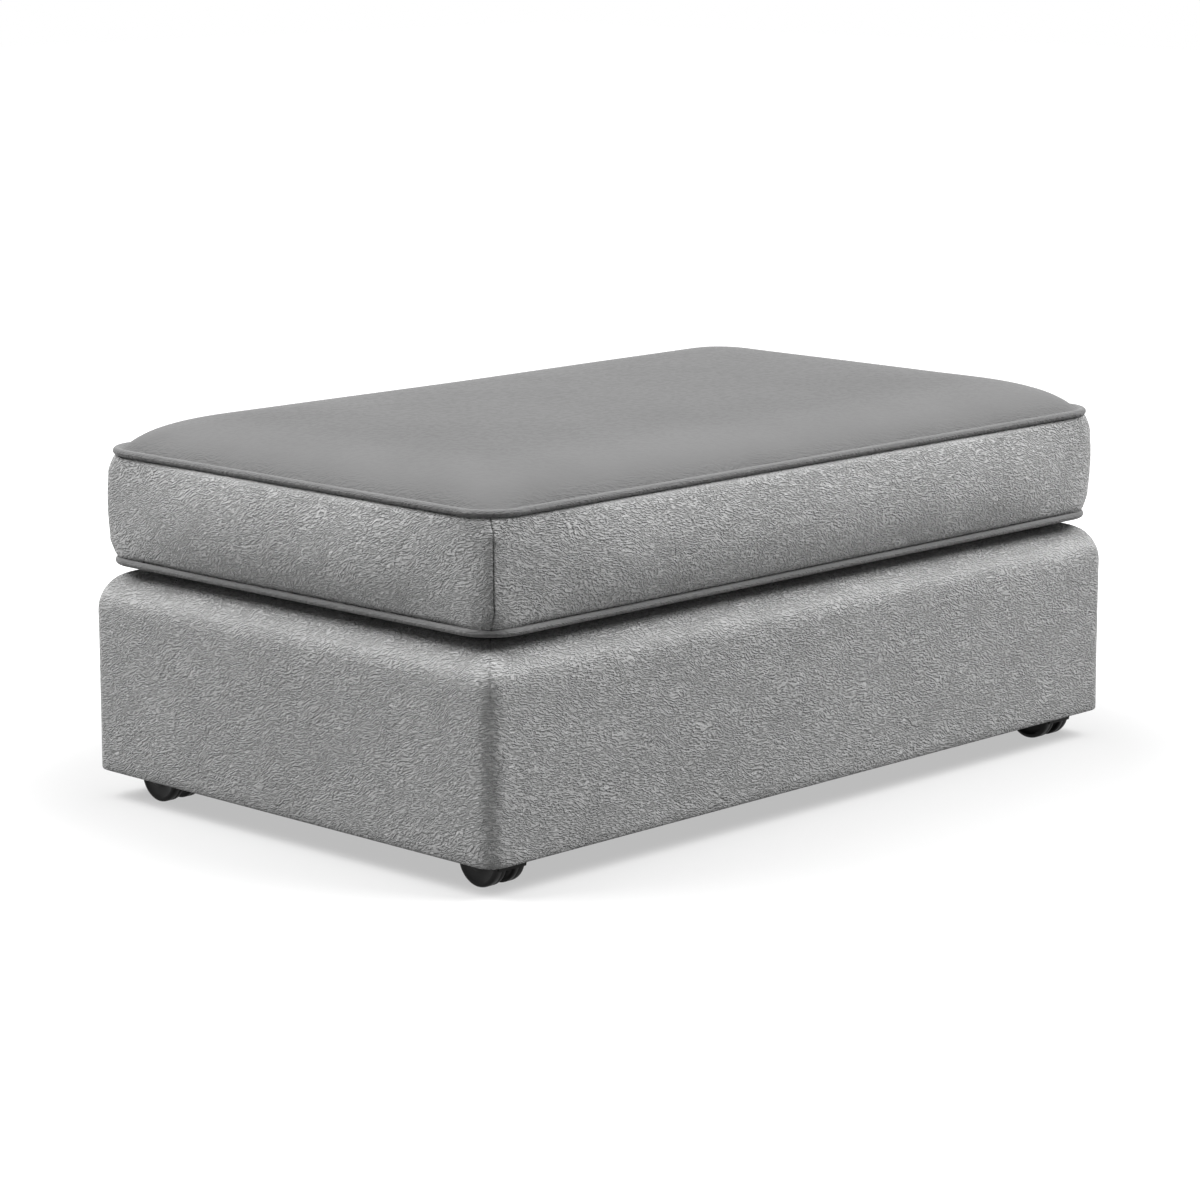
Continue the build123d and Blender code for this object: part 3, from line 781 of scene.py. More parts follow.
class OTTOMAN_OT_cushion(bpy.types.Operator):
    """Crowned leather cushion, filled by a cloth simulation with its seams held"""

    bl_idname = "ottoman.cushion"
    bl_label = "Cushion"

    def execute(self, context):
        settings = context.scene.ottoman_cushion
        self.edge = settings.welt_radius + 0.2 * MM
        self.flange = 0.7 * MM
        bm = bmesh.new()
        layers = (*rim_layers(bm), bm.verts.layers.float.new("held"))
        rim = self.draw_top(bm, layers, settings)
        rim = self.draw_boxing(bm, layers, settings, rim)
        self.draw_underside(bm, layers, settings, rim)
        bmesh.ops.remove_doubles(bm, verts=bm.verts, dist=0.02 * MM)
        # Faces above the top welt take the drawn copy of the hide, whose darker colour is painted
        # shade
        for face in bm.faces:
            face.material_index = int(face.calc_center_median().z > TOP_SEAM + self.flange)
        cushion = finish_mesh(bm, "cushion_leather", "grained_leather", "drawn_shaded_leather")
        self.fill(context.scene, cushion, settings)
        reshape(cushion, "SUBSURF", levels=1, render_levels=1)
        self.sew_seams(cushion, settings)
        mark(cushion, "slack", self.slack)
        # Painted shade darkens the top's flat middle
        mark(cushion, "painted_shade", self.painted_shade)
        dress(cushion, "cushion", "leather", "top_panel", "bottom_panel", *BOXINGS, fill=0.85)
        return {"FINISHED"}

    def hold(self, verts, layers, held=1.0):
        """Notes whether the filling has to leave these points where they are."""
        for vert in verts:
            vert[layers[2]] = held

    def draw_top(self, bm, layers, settings):
        """The crowned panel. Returns its rim."""
        half_x, half_y = seam_sizes(settings)
        corner = settings.corner_radius - self.edge
        top, x, y, _ = plan_grid(
            bm, layers, PANEL_GRID, half_x - self.edge, half_y - self.edge, corner, draw_in
        )
        put(top, x, y, self.crown_height(settings, x, y))
        rim = [edge for edge in bm.edges if edge.is_boundary]
        self.hold({vert for edge in rim for vert in edge.verts}, layers)
        return rim

    def draw_boxing(self, bm, layers, settings, rim):
        """The boxing between its seams, in rings that lie closer towards them. Returns its rim."""
        half_x, half_y = seam_sizes(settings)
        half = (TOP_SEAM - LOW_SEAM) / 2 - self.flange
        middle = (TOP_SEAM + LOW_SEAM) / 2
        tight, full = 25 * MM, settings.corner_radius - self.edge
        for turn in np.linspace(0, math.pi, BOXING_RINGS):
            level = 0.75 * math.cos(turn) + 0.25 * (1 - 2 * turn / math.pi)
            rim, verts = next_ring(bm, rim)
            u, v = rim_values(verts, layers)
            gap = outline_gap(u, v, half_x, half_y)
            out = self.bulge(self.swell(settings, u, v, gap), level, gap)
            # The corners tighten sooner under the top welt than over the bottom one
            corner = tight + (full - tight) * abs(level) ** (2.0 if level > 0 else 1.3)
            x, y = on_outline(u, v, half_x + out, half_y + out, corner)
            put(verts, x, y, middle + half * level)
            self.hold(verts, layers, float(abs(level) > 0.999))
        return rim

    def draw_underside(self, bm, layers, settings, rim):
        """The curl under the bottom welt, and the flat that rests on the deck."""
        half_x, half_y = seam_sizes(settings)
        start, rest = LOW_SEAM - self.flange, DECK_TOP + SEAT_GAP
        for share in (0.3, 0.6, 0.85, 1.0):
            inset = self.edge + float(smooth_curve(UNDERSIDE_KNOTS, np.array(share)))
            corner = settings.corner_radius - self.edge - 4 * MM * share
            height = start + (rest - start) * share
            rim, verts = ring_at(bm, rim, layers, half_x - inset, half_y - inset, corner, height)
            self.hold(verts, layers)
        flat, x, y, _ = plan_grid(
            bm, layers, PANEL_GRID, half_x - inset, half_y - inset, corner, draw_in
        )
        put(flat, x, y, rest)
        self.hold(flat, layers)

    def swell(self, settings, u, v, gap):
        """Swell of the boxing: full along the sides, held at the corners and along the zip."""
        corner = 0.2 * settings.bulge
        back = (v > 0) & (np.abs(v) >= np.abs(u))
        full = np.where(back, settings.bulge, settings.side_bulge)
        return corner + (full - corner) * eased(gap / np.where(back, 60 * MM, 210 * MM))

    def bulge(self, swell, level, gap):
        """How far the boxing reaches past the seams at a level: creased at them, full between."""
        below = (1 - abs(level)) * (TOP_SEAM - LOW_SEAM) / 2
        deep, wide, lip = self.edge + 2.2 * MM, 4.8 * MM, 1.2 * MM
        crease = deep * math.exp(-(below / wide) ** 2)
        crease = crease * (0.3 + 0.7 * eased(gap / (60 * MM)))
        power = 2.2 - 0.2 * eased((swell - 6 * MM) / (9 * MM))
        return swell - (swell - lip) * abs(level) ** power - crease

    def crown_height(self, settings, x, y):
        """Height of the crowned panel, whose contours grow rounder at their corners."""
        half_x, half_y = seam_sizes(settings)

        def radius_at(inset):
            return settings.corner_radius * (0.9 + 0.6 * np.clip(inset / (0.66 * half_y), 0, 1))

        inset = inset_at(x, y, half_x, half_y, radius_at)
        share = np.clip((inset - self.edge) / (half_y - self.edge), 0, 1)
        rise = settings.crown - self.flange
        return TOP_SEAM + self.flange + rise * smooth_curve(CROWN_KNOTS, share)

    def fill(self, scene, cushion, settings):
        """Blows the cover up against its held seams.

        The crown keeps its measured height from rim to middle, and of the simulated change it
        takes a share of what differs at the same reach, between the sides and the corners.
        """
        points = cushion.data.vertices
        places = cushion.data.attributes
        drawn = read(points, "co", 3)
        group = cushion.vertex_groups.new(name="held")
        held = np.nonzero(read(places["held"].data, "value") > 0.5)[0]
        group.add(held.tolist(), 1.0, "REPLACE")
        slim = drawn.copy()
        crown = drawn[:, 2] > TOP_SEAM
        slim[crown, 2] = TOP_SEAM + (drawn[crown, 2] - TOP_SEAM) * SLIM_CROWN
        points.foreach_set("co", slim.ravel())
        cloth = cushion.modifiers.new("Filling", "CLOTH")
        hide = cloth.settings
        hide.quality = 5
        hide.mass = 0.4
        hide.tension_stiffness = hide.compression_stiffness = 25
        hide.shear_stiffness = 12
        hide.bending_stiffness = 6
        hide.vertex_group_mass = "held"
        hide.use_pressure = True
        hide.uniform_pressure_force = settings.pressure
        hide.effector_weights.gravity = 0
        cloth.collision_settings.use_collision = False
        for moment in range(1, FILLING_FRAMES + 1):
            scene.frame_set(moment)
        shown = cushion.evaluated_get(bpy.context.evaluated_depsgraph_get())
        move = read(shown.data.vertices, "co", 3) - slim
        cushion.modifiers.remove(cloth)
        scene.frame_set(1)
        far = np.linalg.norm(move, axis=1, keepdims=True)
        filled = slim + move * np.minimum(1, settings.swell_limit / np.maximum(far, 1e-9))
        above = filled[:, 2] > TOP_SEAM + self.flange
        rise = (filled[above, 2] - TOP_SEAM).max()
        filled[above, 2] = TOP_SEAM + (filled[above, 2] - TOP_SEAM) * settings.crown / rise
        change = filled - drawn
        u, v = (read(places[name].data, "value")[above] for name in ("rim_u", "rim_v"))
        reach = rim_share(u, v)
        trend = np.polyfit(reach, change[above, 2], deg=6)
        change[above, 2] -= np.polyval(trend, reach)
        shape = drawn + change * settings.filled_share
        cushion.data.vertices.foreach_set("co", shape.ravel())
        cushion.vertex_groups.remove(group)

    def sew_seams(self, cushion, settings):
        """Corner seams of the boxing, slow waves, and the folded slot that shows the zip."""
        bm = edit_mesh(cushion)
        low, high = LOW_SEAM + 2 * MM, TOP_SEAM - 2 * MM
        middle = (low + high) / 2

        def clear(place):
            """How far a place is from the nearer end of the corner seams."""
            return (high - low) / 2 - abs(place.z - middle)

        def fade(place):
            return min(max(clear(place) + 1 * MM, 0) / (5 * MM), 1)

        def soft(place):
            return float(eased(clear(place) / (22 * MM)))

        for signs, way in zip(CORNER_SIGNS, START_WAYS):
            corner = Vector([sign * half for sign, half in zip(signs, seam_sizes(settings))] + [0])
            outward = Vector((way.y, -way.x, 0))
            seam_at = corner + way * settings.seam_shift
            across = (way + outward).normalized()
            near = faces_where(
                bm.faces,
                lambda at: low < at.z < high and (at.xy - corner.xy).length < 50 * MM,
            )
            groove, sunk = 1.2 * MM, 2.8 * MM
            lines = [step * MM for step in (-9, -5, -2.4, -1.1, -0.5, 0, 0.5, 1.1, 2.4, 5)]
            verts = cut_lines(bm, near, seam_at, across, lines)
            # The next side's strip runs flat up to the seam, and the last one turns in to meet it
            walls = self.levels(verts, outward, lambda at: (at - seam_at).dot(way) > 28 * MM)
            mitre = self.levels(
                verts, outward, lambda at: abs((at - seam_at).dot(across)) < 0.1 * MM
            )
            for vert in verts:
                past = (vert.co - seam_at).dot(across)
                wall = float(np.interp(vert.co.z, *walls))
                if past >= 0:
                    hold = 0.5 * float(eased((26 * MM - past) / (14 * MM))) * soft(vert.co)
                    vert.co += outward * (wall - vert.co.dot(outward)) * hold
                else:
                    step = 0.5 * (wall - float(np.interp(vert.co.z, *mitre)))
                    vert.co += outward * step * float(eased(1 + past / (15 * MM))) * soft(vert.co)
                if abs(past) < groove:
                    inward = (way - outward).normalized()
                    vert.co += inward * sunk * (1 - abs(past) / groove) * fade(vert.co)
        for vert in bm.verts:
            if low < vert.co.z < high:
                side = Vector((vert.normal.x, vert.normal.y, 0))
                vert.co += side * drift(vert.co, 0.6) * 1.1 * MM * fade(vert.co)
            elif vert.co.z >= high + 5 * MM:
                rise = min((vert.co.z - high) / (20 * MM), 1)
                vert.co.z += drift(vert.co, 0.9) * 0.9 * MM * rise
        self.open_zip(bm, (LOW_SEAM + TOP_SEAM) / 2)
        keep_mesh(bm, cushion)

    def levels(self, verts, outward, chosen):
        """Height and outward reach of the chosen points, from low to high."""
        rows = sorted((vert.co.z, vert.co.dot(outward)) for vert in verts if chosen(vert.co))
        return np.array(rows).T

    def open_zip(self, bm, middle):
        """Sinks the slot between the two folded strips at the back, where the zip lies."""
        low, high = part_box("zip_tapes")
        half_long = high.x - 0.6 * MM
        half_open = 5 * MM
        floor = low.y - 1.6 * MM
        back, reach = BASE_HIGH.y * 0.9, 14 * MM
        centre = Vector((0, 0, middle))
        near = faces_where(bm.faces, lambda at: at.y > back and abs(at.z - middle) < reach)
        rows = [sign * (half_open + step * MM) for sign in (-1, 1) for step in (-0.5, 0, 0.6, 1.6)]
        verts = cut_lines(bm, near, centre, Vector((0, 0, 1)), rows)
        ends = faces_where(
            {face for vert in verts if vert.is_valid for face in vert.link_faces},
            lambda at: abs(abs(at.x) - half_long) < 22 * MM and abs(at.z - middle) < reach,
        )
        along = [sign * (half_long + step * MM) for sign in (-1, 1) for step in (-0.5, 0, 0.6)]
        cut_lines(bm, ends, centre, Vector((1, 0, 0)), along)
        for vert in bm.verts:
            if vert.co.y < back:
                continue
            away = max(abs(vert.co.x) - half_long, abs(vert.co.z - middle) - half_open)
            if away < -0.4 * MM:
                vert.co.y = floor
            elif away < 0.1 * MM:
                vert.co.y -= 0.9 * MM
            elif away < 0.7 * MM:
                vert.co.y -= 0.15 * MM

    def slack(self, place, normal):
        """The crowned top is drawn smooth, and the boxing keeps its full grain."""
        return 0.08 + 0.92 * min(max((0.85 - normal.z) / 0.4, 0), 1)

    def painted_shade(self, place, normal):
        """Painted shade on the flat middle of the top."""
        inset = min(BASE_HIGH.x - abs(place.x), BASE_HIGH.y - abs(place.y))
        return float(eased(inset / (190 * MM))) if place.z > TOP_SEAM else 0.0


class OTTOMAN_OT_welts(bpy.types.Operator):
    """Leather-covered cords round the cushion's two seams"""

    bl_idname = "ottoman.welts"
    bl_label = "Welts"

    def execute(self, context):
        settings = context.scene.ottoman_cushion
        for name, node, height in (
            ("top_welt_leather", "top_welt", TOP_SEAM),
            ("bottom_welt_leather", "bottom_welt", LOW_SEAM),
        ):
            welt = self.make(settings, name, height)
            dress(welt, "cushion", "welt_leather", node)
        return {"FINISHED"}

    def make(self, settings, name, height):
        """A cord's casing, spun round each corner and drawn out along each side."""
        half_x, half_y = seam_sizes(settings)
        radius = settings.corner_radius
        start = Matrix.Translation((half_x - radius, -half_y, height))
        bm = bmesh.new()
        section = bmesh.ops.create_circle(
            bm, segments=20, radius=settings.welt_radius,
            matrix=start @ Matrix.Rotation(math.pi / 2, 4, "Y"),
        )["verts"]
        # The seam pinches the casing into a lip on the cushion's side
        for vert in section:
            inward = vert.co.y + half_y
            if inward > 0:
                pinch = inward / settings.welt_radius
                vert.co.y += 5.2 * MM * pinch ** 2
                vert.co.z = height + (vert.co.z - height) * (1 - 0.5 * pinch ** 2)
        rim = list({edge for vert in section for edge in vert.link_edges})
        long_run, short_run = 2 * (half_x - radius), 2 * (half_y - radius)
        for sx, sy, run, steps in (
            (1, -1, Vector((0, short_run, 0)), 54),
            (1, 1, Vector((-long_run, 0, 0)), 90),
            (-1, 1, Vector((0, -short_run, 0)), 54),
            (-1, -1, Vector((long_run, 0, 0)), 90),
        ):
            centre = Vector((sx * (half_x - radius), sy * (half_y - radius), height))
            turned = bmesh.ops.spin(
                bm, geom=rim, cent=centre, axis=(0, 0, 1), angle=math.pi / 2, steps=12,
                use_duplicate=False,
            )["geom_last"]
            rim = [part for part in turned if isinstance(part, bmesh.types.BMEdge)]
            for _ in range(steps):
                rim, verts = next_ring(bm, rim)
                bmesh.ops.translate(bm, verts=verts, vec=run / steps)
        bmesh.ops.remove_doubles(bm, verts=bm.verts, dist=0.05 * MM)
        welt = finish_mesh(bm, name, "welt_casing_shaded_leather")
        mark(welt, "slack", lambda place, normal: 0.35 if normal.z > 0.2 else 1.0)
        return welt


class OTTOMAN_OT_skirt(bpy.types.Operator):
    """Padded leather skirt of the base, from the deck border over the edge and under the hem"""

    bl_idname = "ottoman.skirt"
    bl_label = "Skirt"

    def execute(self, context):
        settings = context.scene.ottoman_base
        half = (BASE_HIGH.x, BASE_HIGH.y)
        fine, plain = (150, 94), (40, 26)
        skirt = ring_shell("skirt_leather", half, self.profile(settings), fine, "grained_leather")
        self.sew_corners(skirt, settings)
        reshape(skirt, "SOLIDIFY", thickness=settings.leather, offset=-1)
        mark(skirt, "slack", self.slack)
        # Painted shade darkens the hem
        mark(skirt, "painted_shade", self.painted_shade)
        dress(skirt, "base", "leather", *COVERS, fill=0.95)
        rings = self.foam_profile(settings)
        foam = ring_shell("deck_foam_pad", half, rings, plain, "cream_foam", lid=True)
        dress(foam, "base", "foam", "deck_foam", fill=0.9)
        rings = self.wadding_profile(settings)
        wrap = ring_shell("side_wadding_wrap", half, rings, plain, "white_polyester_fibre")
        reshape(wrap, "SOLIDIFY", thickness=2.2 * MM, offset=-1)
        dress(wrap, "base", "fibre", "side_wadding", fill=0.5)
        return {"FINISHED"}

    def sew_corners(self, skirt, settings):
        """Mitred seams down the four corners, and the slow waves of a padded side."""
        bm = edit_mesh(skirt)
        for vert in bm.verts:
            side = Vector((vert.normal.x, vert.normal.y, 0))
            held = float(eased((vert.co.z - BASE_LOW.z) / (40 * MM)))
            vert.co += side * drift(vert.co, 0.8) * 0.9 * MM * held
        for sx, sy in CORNER_SIGNS:
            inner_x, inner_y = (side - settings.corner_radius for side in BASE_HIGH.xy)
            corner = Vector((sx * inner_x, sy * inner_y, 0))
            across = Vector((-sy, sx, 0)).normalized()
            near = faces_where(
                bm.faces,
                lambda at: (at.xy - corner.xy).dot(Vector((sx, sy))) > -130 * MM
                and abs((at - corner).dot(across)) < 12 * MM,
            )
            self.press_seam(bm, near, corner, across, depth=1.4 * MM, width=1.1 * MM)
        keep_mesh(bm, skirt)

    def press_seam(self, bm, faces, origin, across, depth, width):
        """A sewn seam: a narrow groove and a low pucker along both sides, fainter lower down."""
        steps = (-4.5, -2.6, -1.3, -0.55, 0, 0.55, 1.3, 2.6, 4.5)
        verts = cut_lines(bm, faces, origin, across, [step * width for step in steps])
        bm.normal_update()
        moves = []
        for vert in verts:
            away = abs((vert.co - origin).dot(across)) / width
            if away < 6:
                groove = -math.exp(-(1.5 * away) ** 2)
                pucker = 0.4 * math.exp(-(0.9 * (away - 2.2)) ** 2)
                upper = float(eased((vert.co.z - BASE_HIGH.z + 75 * MM) / (55 * MM)))
                lift = depth * (groove + pucker) * (0.3 + 0.7 * upper)
                moves.append((vert, vert.normal * lift))
        for vert, move in moves:
            vert.co += move

    def slack(self, place, normal):
        """The padded edge draws the hide smooth."""
        return 1.0 - 0.6 * max(0.0, 1 - abs(normal.z - 0.5) / 0.3)

    def painted_shade(self, place, normal):
        """Painted shade on the rolled hem."""
        return float(1 - eased((place.z - BASE_LOW.z) / (7 * MM)))

    def edge_rings(self, settings, inward, steps):
        """Rings of the rounded top edge, drawn in by inward."""
        edge = settings.edge_radius - inward
        rings = []
        for turn in np.linspace(0, math.pi / 2, steps):
            inset = inward + edge * (1 - math.sin(turn))
            height = BASE_HIGH.z - inward - edge * (1 - math.cos(turn))
            rings.append((height, inset, max(settings.corner_radius - inset * 0.8, 5 * MM)))
        return rings

    def profile(self, settings):
        """From the deck cloth over the edge, down the side and under the hem to its inner face."""
        edge, corner = settings.edge_radius, settings.corner_radius
        low, hem, lip = BASE_LOW.z, 3 * MM, 6.5 * MM
        rings = []
        for share in np.linspace(0, 1, 7)[:-1]:
            inset = settings.deck_border + (edge - settings.deck_border) * share
            height = BASE_HIGH.z - 0.3 * MM * (1 - share)
            rings.append((height, inset, 30 * MM - 25 * MM * share))
        rings += self.edge_rings(settings, 0, 14)
        for share in np.linspace(0, 1, 19)[1:-1]:
            height = BASE_HIGH.z - edge + (low + hem - BASE_HIGH.z + edge) * share
            rings.append((height, 0.0, corner))
        for turn in np.linspace(0, math.pi, 7):
            inset = hem * (1 - math.cos(turn))
            rings.append((low + hem - hem * math.sin(turn), inset, corner - inset))
        rings.append((low + 20 * MM, lip, corner - lip))
        return rings

    def foam_profile(self, settings):
        """From the deck over the edge and down to the boards."""
        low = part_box("deck_foam")[0].z
        corner, hide = settings.corner_radius, 4 * MM
        return [
            (BASE_HIGH.z - hide, settings.edge_radius + hide, 5 * MM),
            *self.edge_rings(settings, hide, 10),
            (low + 6 * MM, hide, corner),
            (low, 6 * MM, corner),
            (low, 14 * MM, corner),
        ]

    def wadding_profile(self, settings):
        """The straight wrap between the boards and the leather."""
        low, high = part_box("side_wadding")
        return [
            (high.z - (high.z - low.z) * share, 1.4 * MM, settings.corner_radius)
            for share in np.linspace(0, 1, 6)
        ]


class OTTOMAN_OT_filling(bpy.types.Operator):
    """Foam core and fibre wraps inside the cushion"""

    bl_idname = "ottoman.filling"
    bl_label = "Filling"

    def execute(self, context):
        settings = context.scene.ottoman_cushion
        half = seam_sizes(settings)
        rounding = [
            (TOP_SEAM, -3 - 9 * (1 - math.cos(turn)), 16 - 9 * math.sin(turn), 12)
            for turn in np.linspace(0.3, math.pi / 2, 4)
        ]
        core = [(TOP_SEAM, -3, 16, 16), *rounding, (LOW_SEAM, 12, 7, 12), (LOW_SEAM, 3, 14, 14)]
        top = [(TOP_SEAM, -2, 9, 9), (TOP_SEAM, -2.6, 12, 12)]
        bottom = [(LOW_SEAM, 2, 10, 10), (LOW_SEAM, -2, 9, 9), (LOW_SEAM, -10, 28, 10)]
        crown = settings.crown - 9 * MM
        for name, node, rows, finish, slot, fill, rise in (
            ("foam_core_block", "foam_core", core, "cream_foam", "foam", 0.9, 0),
            ("top_fibre_wrap", "top_fibre", top, "white_polyester_fibre", "fibre", 0.5, crown),
            ("bottom_fibre_wrap", "bottom_fibre", bottom, "white_polyester_fibre", "fibre", 0.5, 0),
        ):
            # Each row is a seam's height, then millimetres over it, inwards and off the corner
            rings = [
                (seam + over * MM, inset * MM, settings.corner_radius - less * MM)
                for seam, over, inset, less in rows
            ]
            pad = ring_shell(name, half, rings, (44, 28), finish, lid=True, crown=rise)
            dress(pad, "cushion", slot, node, fill=fill)
        return {"FINISHED"}


class OTTOMAN_OT_cloths(bpy.types.Operator):
    """Deck cloth under the cushion and dust cover under the frame"""

    bl_idname = "ottoman.cloths"
    bl_label = "Cloths"

    def execute(self, context):
        low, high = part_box("deck_cloth")
        lap = 8 * MM
        half = (high.x + lap, high.y + lap)
        height = high.z - 0.5 * MM
        deck = self.drawn("deck_cloth_woven", half, 34 * MM, height, 0.0, "black_woven_lining")
        dress(deck, "base", "lining_cloth", "deck_cloth")
        low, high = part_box("dust_cover")
        half = (high.x, high.y)
        height = high.z - 0.1 * MM
        stems = [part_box(f"{corner}_stem") for corner in CORNERS]
        holes = [((near.x + far.x) / 2, (near.y + far.y) / 2) for near, far in stems]
        dust = self.drawn(
            "dust_cover_cloth", half, 23 * MM, height, 2.2 * MM, "black_spunbond_cloth", holes
        )
        dress(dust, "base", "dust_cloth", "dust_cover")
        return {"FINISHED"}

    def drawn(self, name, half, corner, height, sag, kind, holes=()):
        """A thin cloth on a rounded rectangle, sagging a little between its tacked edges."""
        bm = bmesh.new()
        verts, x, y, _ = plan_grid(bm, rim_layers(bm), (84, 54), *half, corner)
        share_x, share_y = (
            np.clip(np.abs(place) / (side - 30 * MM), 0, 1) for place, side in zip((x, y), half)
        )
        put(verts, x, y, height - sag * (1 - share_x ** 4) * (1 - share_y ** 4))
        side = 12 * MM
        for hole in holes:
            centre = Vector((*hole, height))
            for way in (Vector((1, 0, 0)), Vector((0, 1, 0))):
                near = faces_where(bm.faces, lambda at: (at - centre).length < 50 * MM)
                cut_lines(bm, near, centre, way, (-side, side))
            inside = faces_where(bm.faces, lambda at: max(map(abs, (at - centre).xy)) < side)
            bmesh.ops.delete(bm, geom=inside, context="FACES")
        cloth = finish_mesh(bm, name, kind)
        return reshape(cloth, "SOLIDIFY", thickness=0.5 * MM, offset=-1)


class OTTOMAN_OT_zip(bpy.types.Operator):
    """Woven tapes, coil and metal slider of the zip in the cushion's back"""

    bl_idname = "ottoman.zip"
    bl_label = "Zip"

    def execute(self, context):
        low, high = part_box("zip_tapes")
        middle = (low.z + high.z) / 2
        parting = 0.5 * MM
        width = high.z - middle - parting
        bm = bmesh.new()
        for sign in (-1, 1):
            made = bmesh.ops.create_grid(bm, x_segments=180, y_segments=6, size=1.0)["verts"]
            for vert in made:
                share = (vert.co.y + 1) / 2
                ripple = 0.12 * MM * math.sin(vert.co.x * 160) * share
                height = middle + sign * (parting + share * width)
                vert.co = Vector((vert.co.x * high.x, high.y - 0.1 * MM + ripple, height))
        tapes = finish_mesh(bm, "zip_tape_strips", "woven_zip_tape")
        reshape(tapes, "SOLIDIFY", thickness=0.5 * MM, offset=0)
        dress(tapes, "cushion", "zip_tape", "zip_tapes")
        self.coil(middle)
        for node, name, width in (
            ("zip_slider", "zip_slider_body", 0.25),
            ("zip_pull", "zip_pull_tab", 0.18),
        ):
            eased_copy(node, name, width * MM, node, "dark_plated_zinc", "zip_metal")
        return {"FINISHED"}

    def coil(self, middle):
        """Two rows of nylon teeth that mesh at the middle, with a moulded stop at each end."""
        low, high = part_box("zip_coils")
        deep, depth = (low.y + high.y) / 2, high.y - low.y
        pitch = 1.9 * MM
        bm = bmesh.new()

        def block(x, z, *size):
            matrix = Matrix.Translation((x, deep, z)) @ Matrix.Diagonal((*size, 1))
            return bmesh.ops.create_cube(bm, size=1.0, matrix=matrix)["verts"]

        for k in range(int((high.x - low.x - 9 * MM) / pitch)):
            for sign, shift in ((-1, 0.0), (1, pitch / 2)):
                along = low.x + 4.6 * MM + k * pitch + shift
                block(along, middle + sign * 1.5 * MM, 1.0 * MM, depth - 0.1 * MM, 2.9 * MM)
        for end in (low.x + 2 * MM, high.x - 2 * MM):
            made = block(end, middle, 4 * MM, depth, 6.2 * MM)
            edges = list({edge for vert in made for edge in vert.link_edges})
            bmesh.ops.bevel(
                bm, geom=edges, offset=0.4 * MM, affect="EDGES", segments=2, profile=0.5,
                material=-1,
            )
        teeth = finish_mesh(bm, "zip_coil_teeth", "nylon_zip_coil", smooth=False)
        dress(teeth, "cushion", "zip_coil", "zip_coils")


# Half section of a wheel, in millimetres: distance out from its inner face, and radius
WHEEL_SECTION = (
    (13.6, 0.0), (13.6, 3.05), (0.0, 3.05), (0.0, 9.0), (1.2, 10.0), (1.4, 24.0), (0.0, 25.4),
    (0.0, 28.9), (0.4, 29.7), (1.2, 30.0), (5.0, 30.0), (5.5, 29.6), (6.1, 29.6), (6.6, 30.0),
    (12.2, 30.0), (13.7, 29.6), (14.8, 28.6), (15.4, 27.2), (15.5, 25.6), (15.1, 24.4),
    (14.6, 23.8), (14.5, 14.0), (14.7, 12.6), (15.2, 11.8), (15.5, 11.0), (15.5, 8.0),
    (15.2, 7.2), (15.0, 0.0),
)


class OTTOMAN_OT_casters(bpy.types.Operator):
    """Hooded nylon casters with two wheels each"""

    bl_idname = "ottoman.casters"
    bl_label = "Casters"

    def execute(self, context):
        for corner in CORNERS:
            eased_copy(
                f"{corner}_housing", f"{corner}_hood", 0.7 * MM, f"{corner}_caster",
                "moulded_black_nylon", "caster_housing",
            )
            for side, sign in (("a", -1), ("b", 1)):
                self.wheel(f"{corner}_wheel_{side}", f"{corner}_tread_{side}", sign)
        return {"FINISHED"}

    def wheel(self, node, name, sign):
        """A wheel turned from its half section, outwards along X by its sign."""
        low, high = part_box(node)
        inner = high.x if sign < 0 else low.x
        y, z = (low.y + high.y) / 2, (low.z + high.z) / 2
        bm = bmesh.new()
        verts = [
            bm.verts.new((inner + sign * out * MM, y, z + radius * MM))
            for out, radius in WHEEL_SECTION
        ]
        edges = [bm.edges.new(pair) for pair in zip(verts, verts[1:])]
        bmesh.ops.spin(
            bm, geom=verts + edges, cent=(inner, y, z), axis=(1, 0, 0), angle=2 * math.pi,
            steps=56, use_merge=True,
        )
        bmesh.ops.remove_doubles(bm, verts=bm.verts, dist=0.01 * MM)
        wheel = finish_mesh(bm, name, "black_nylon_wheel")
        wheel.data.set_sharp_from_angle(angle=math.radians(50))
        dress(wheel, node, "caster_wheel", node)


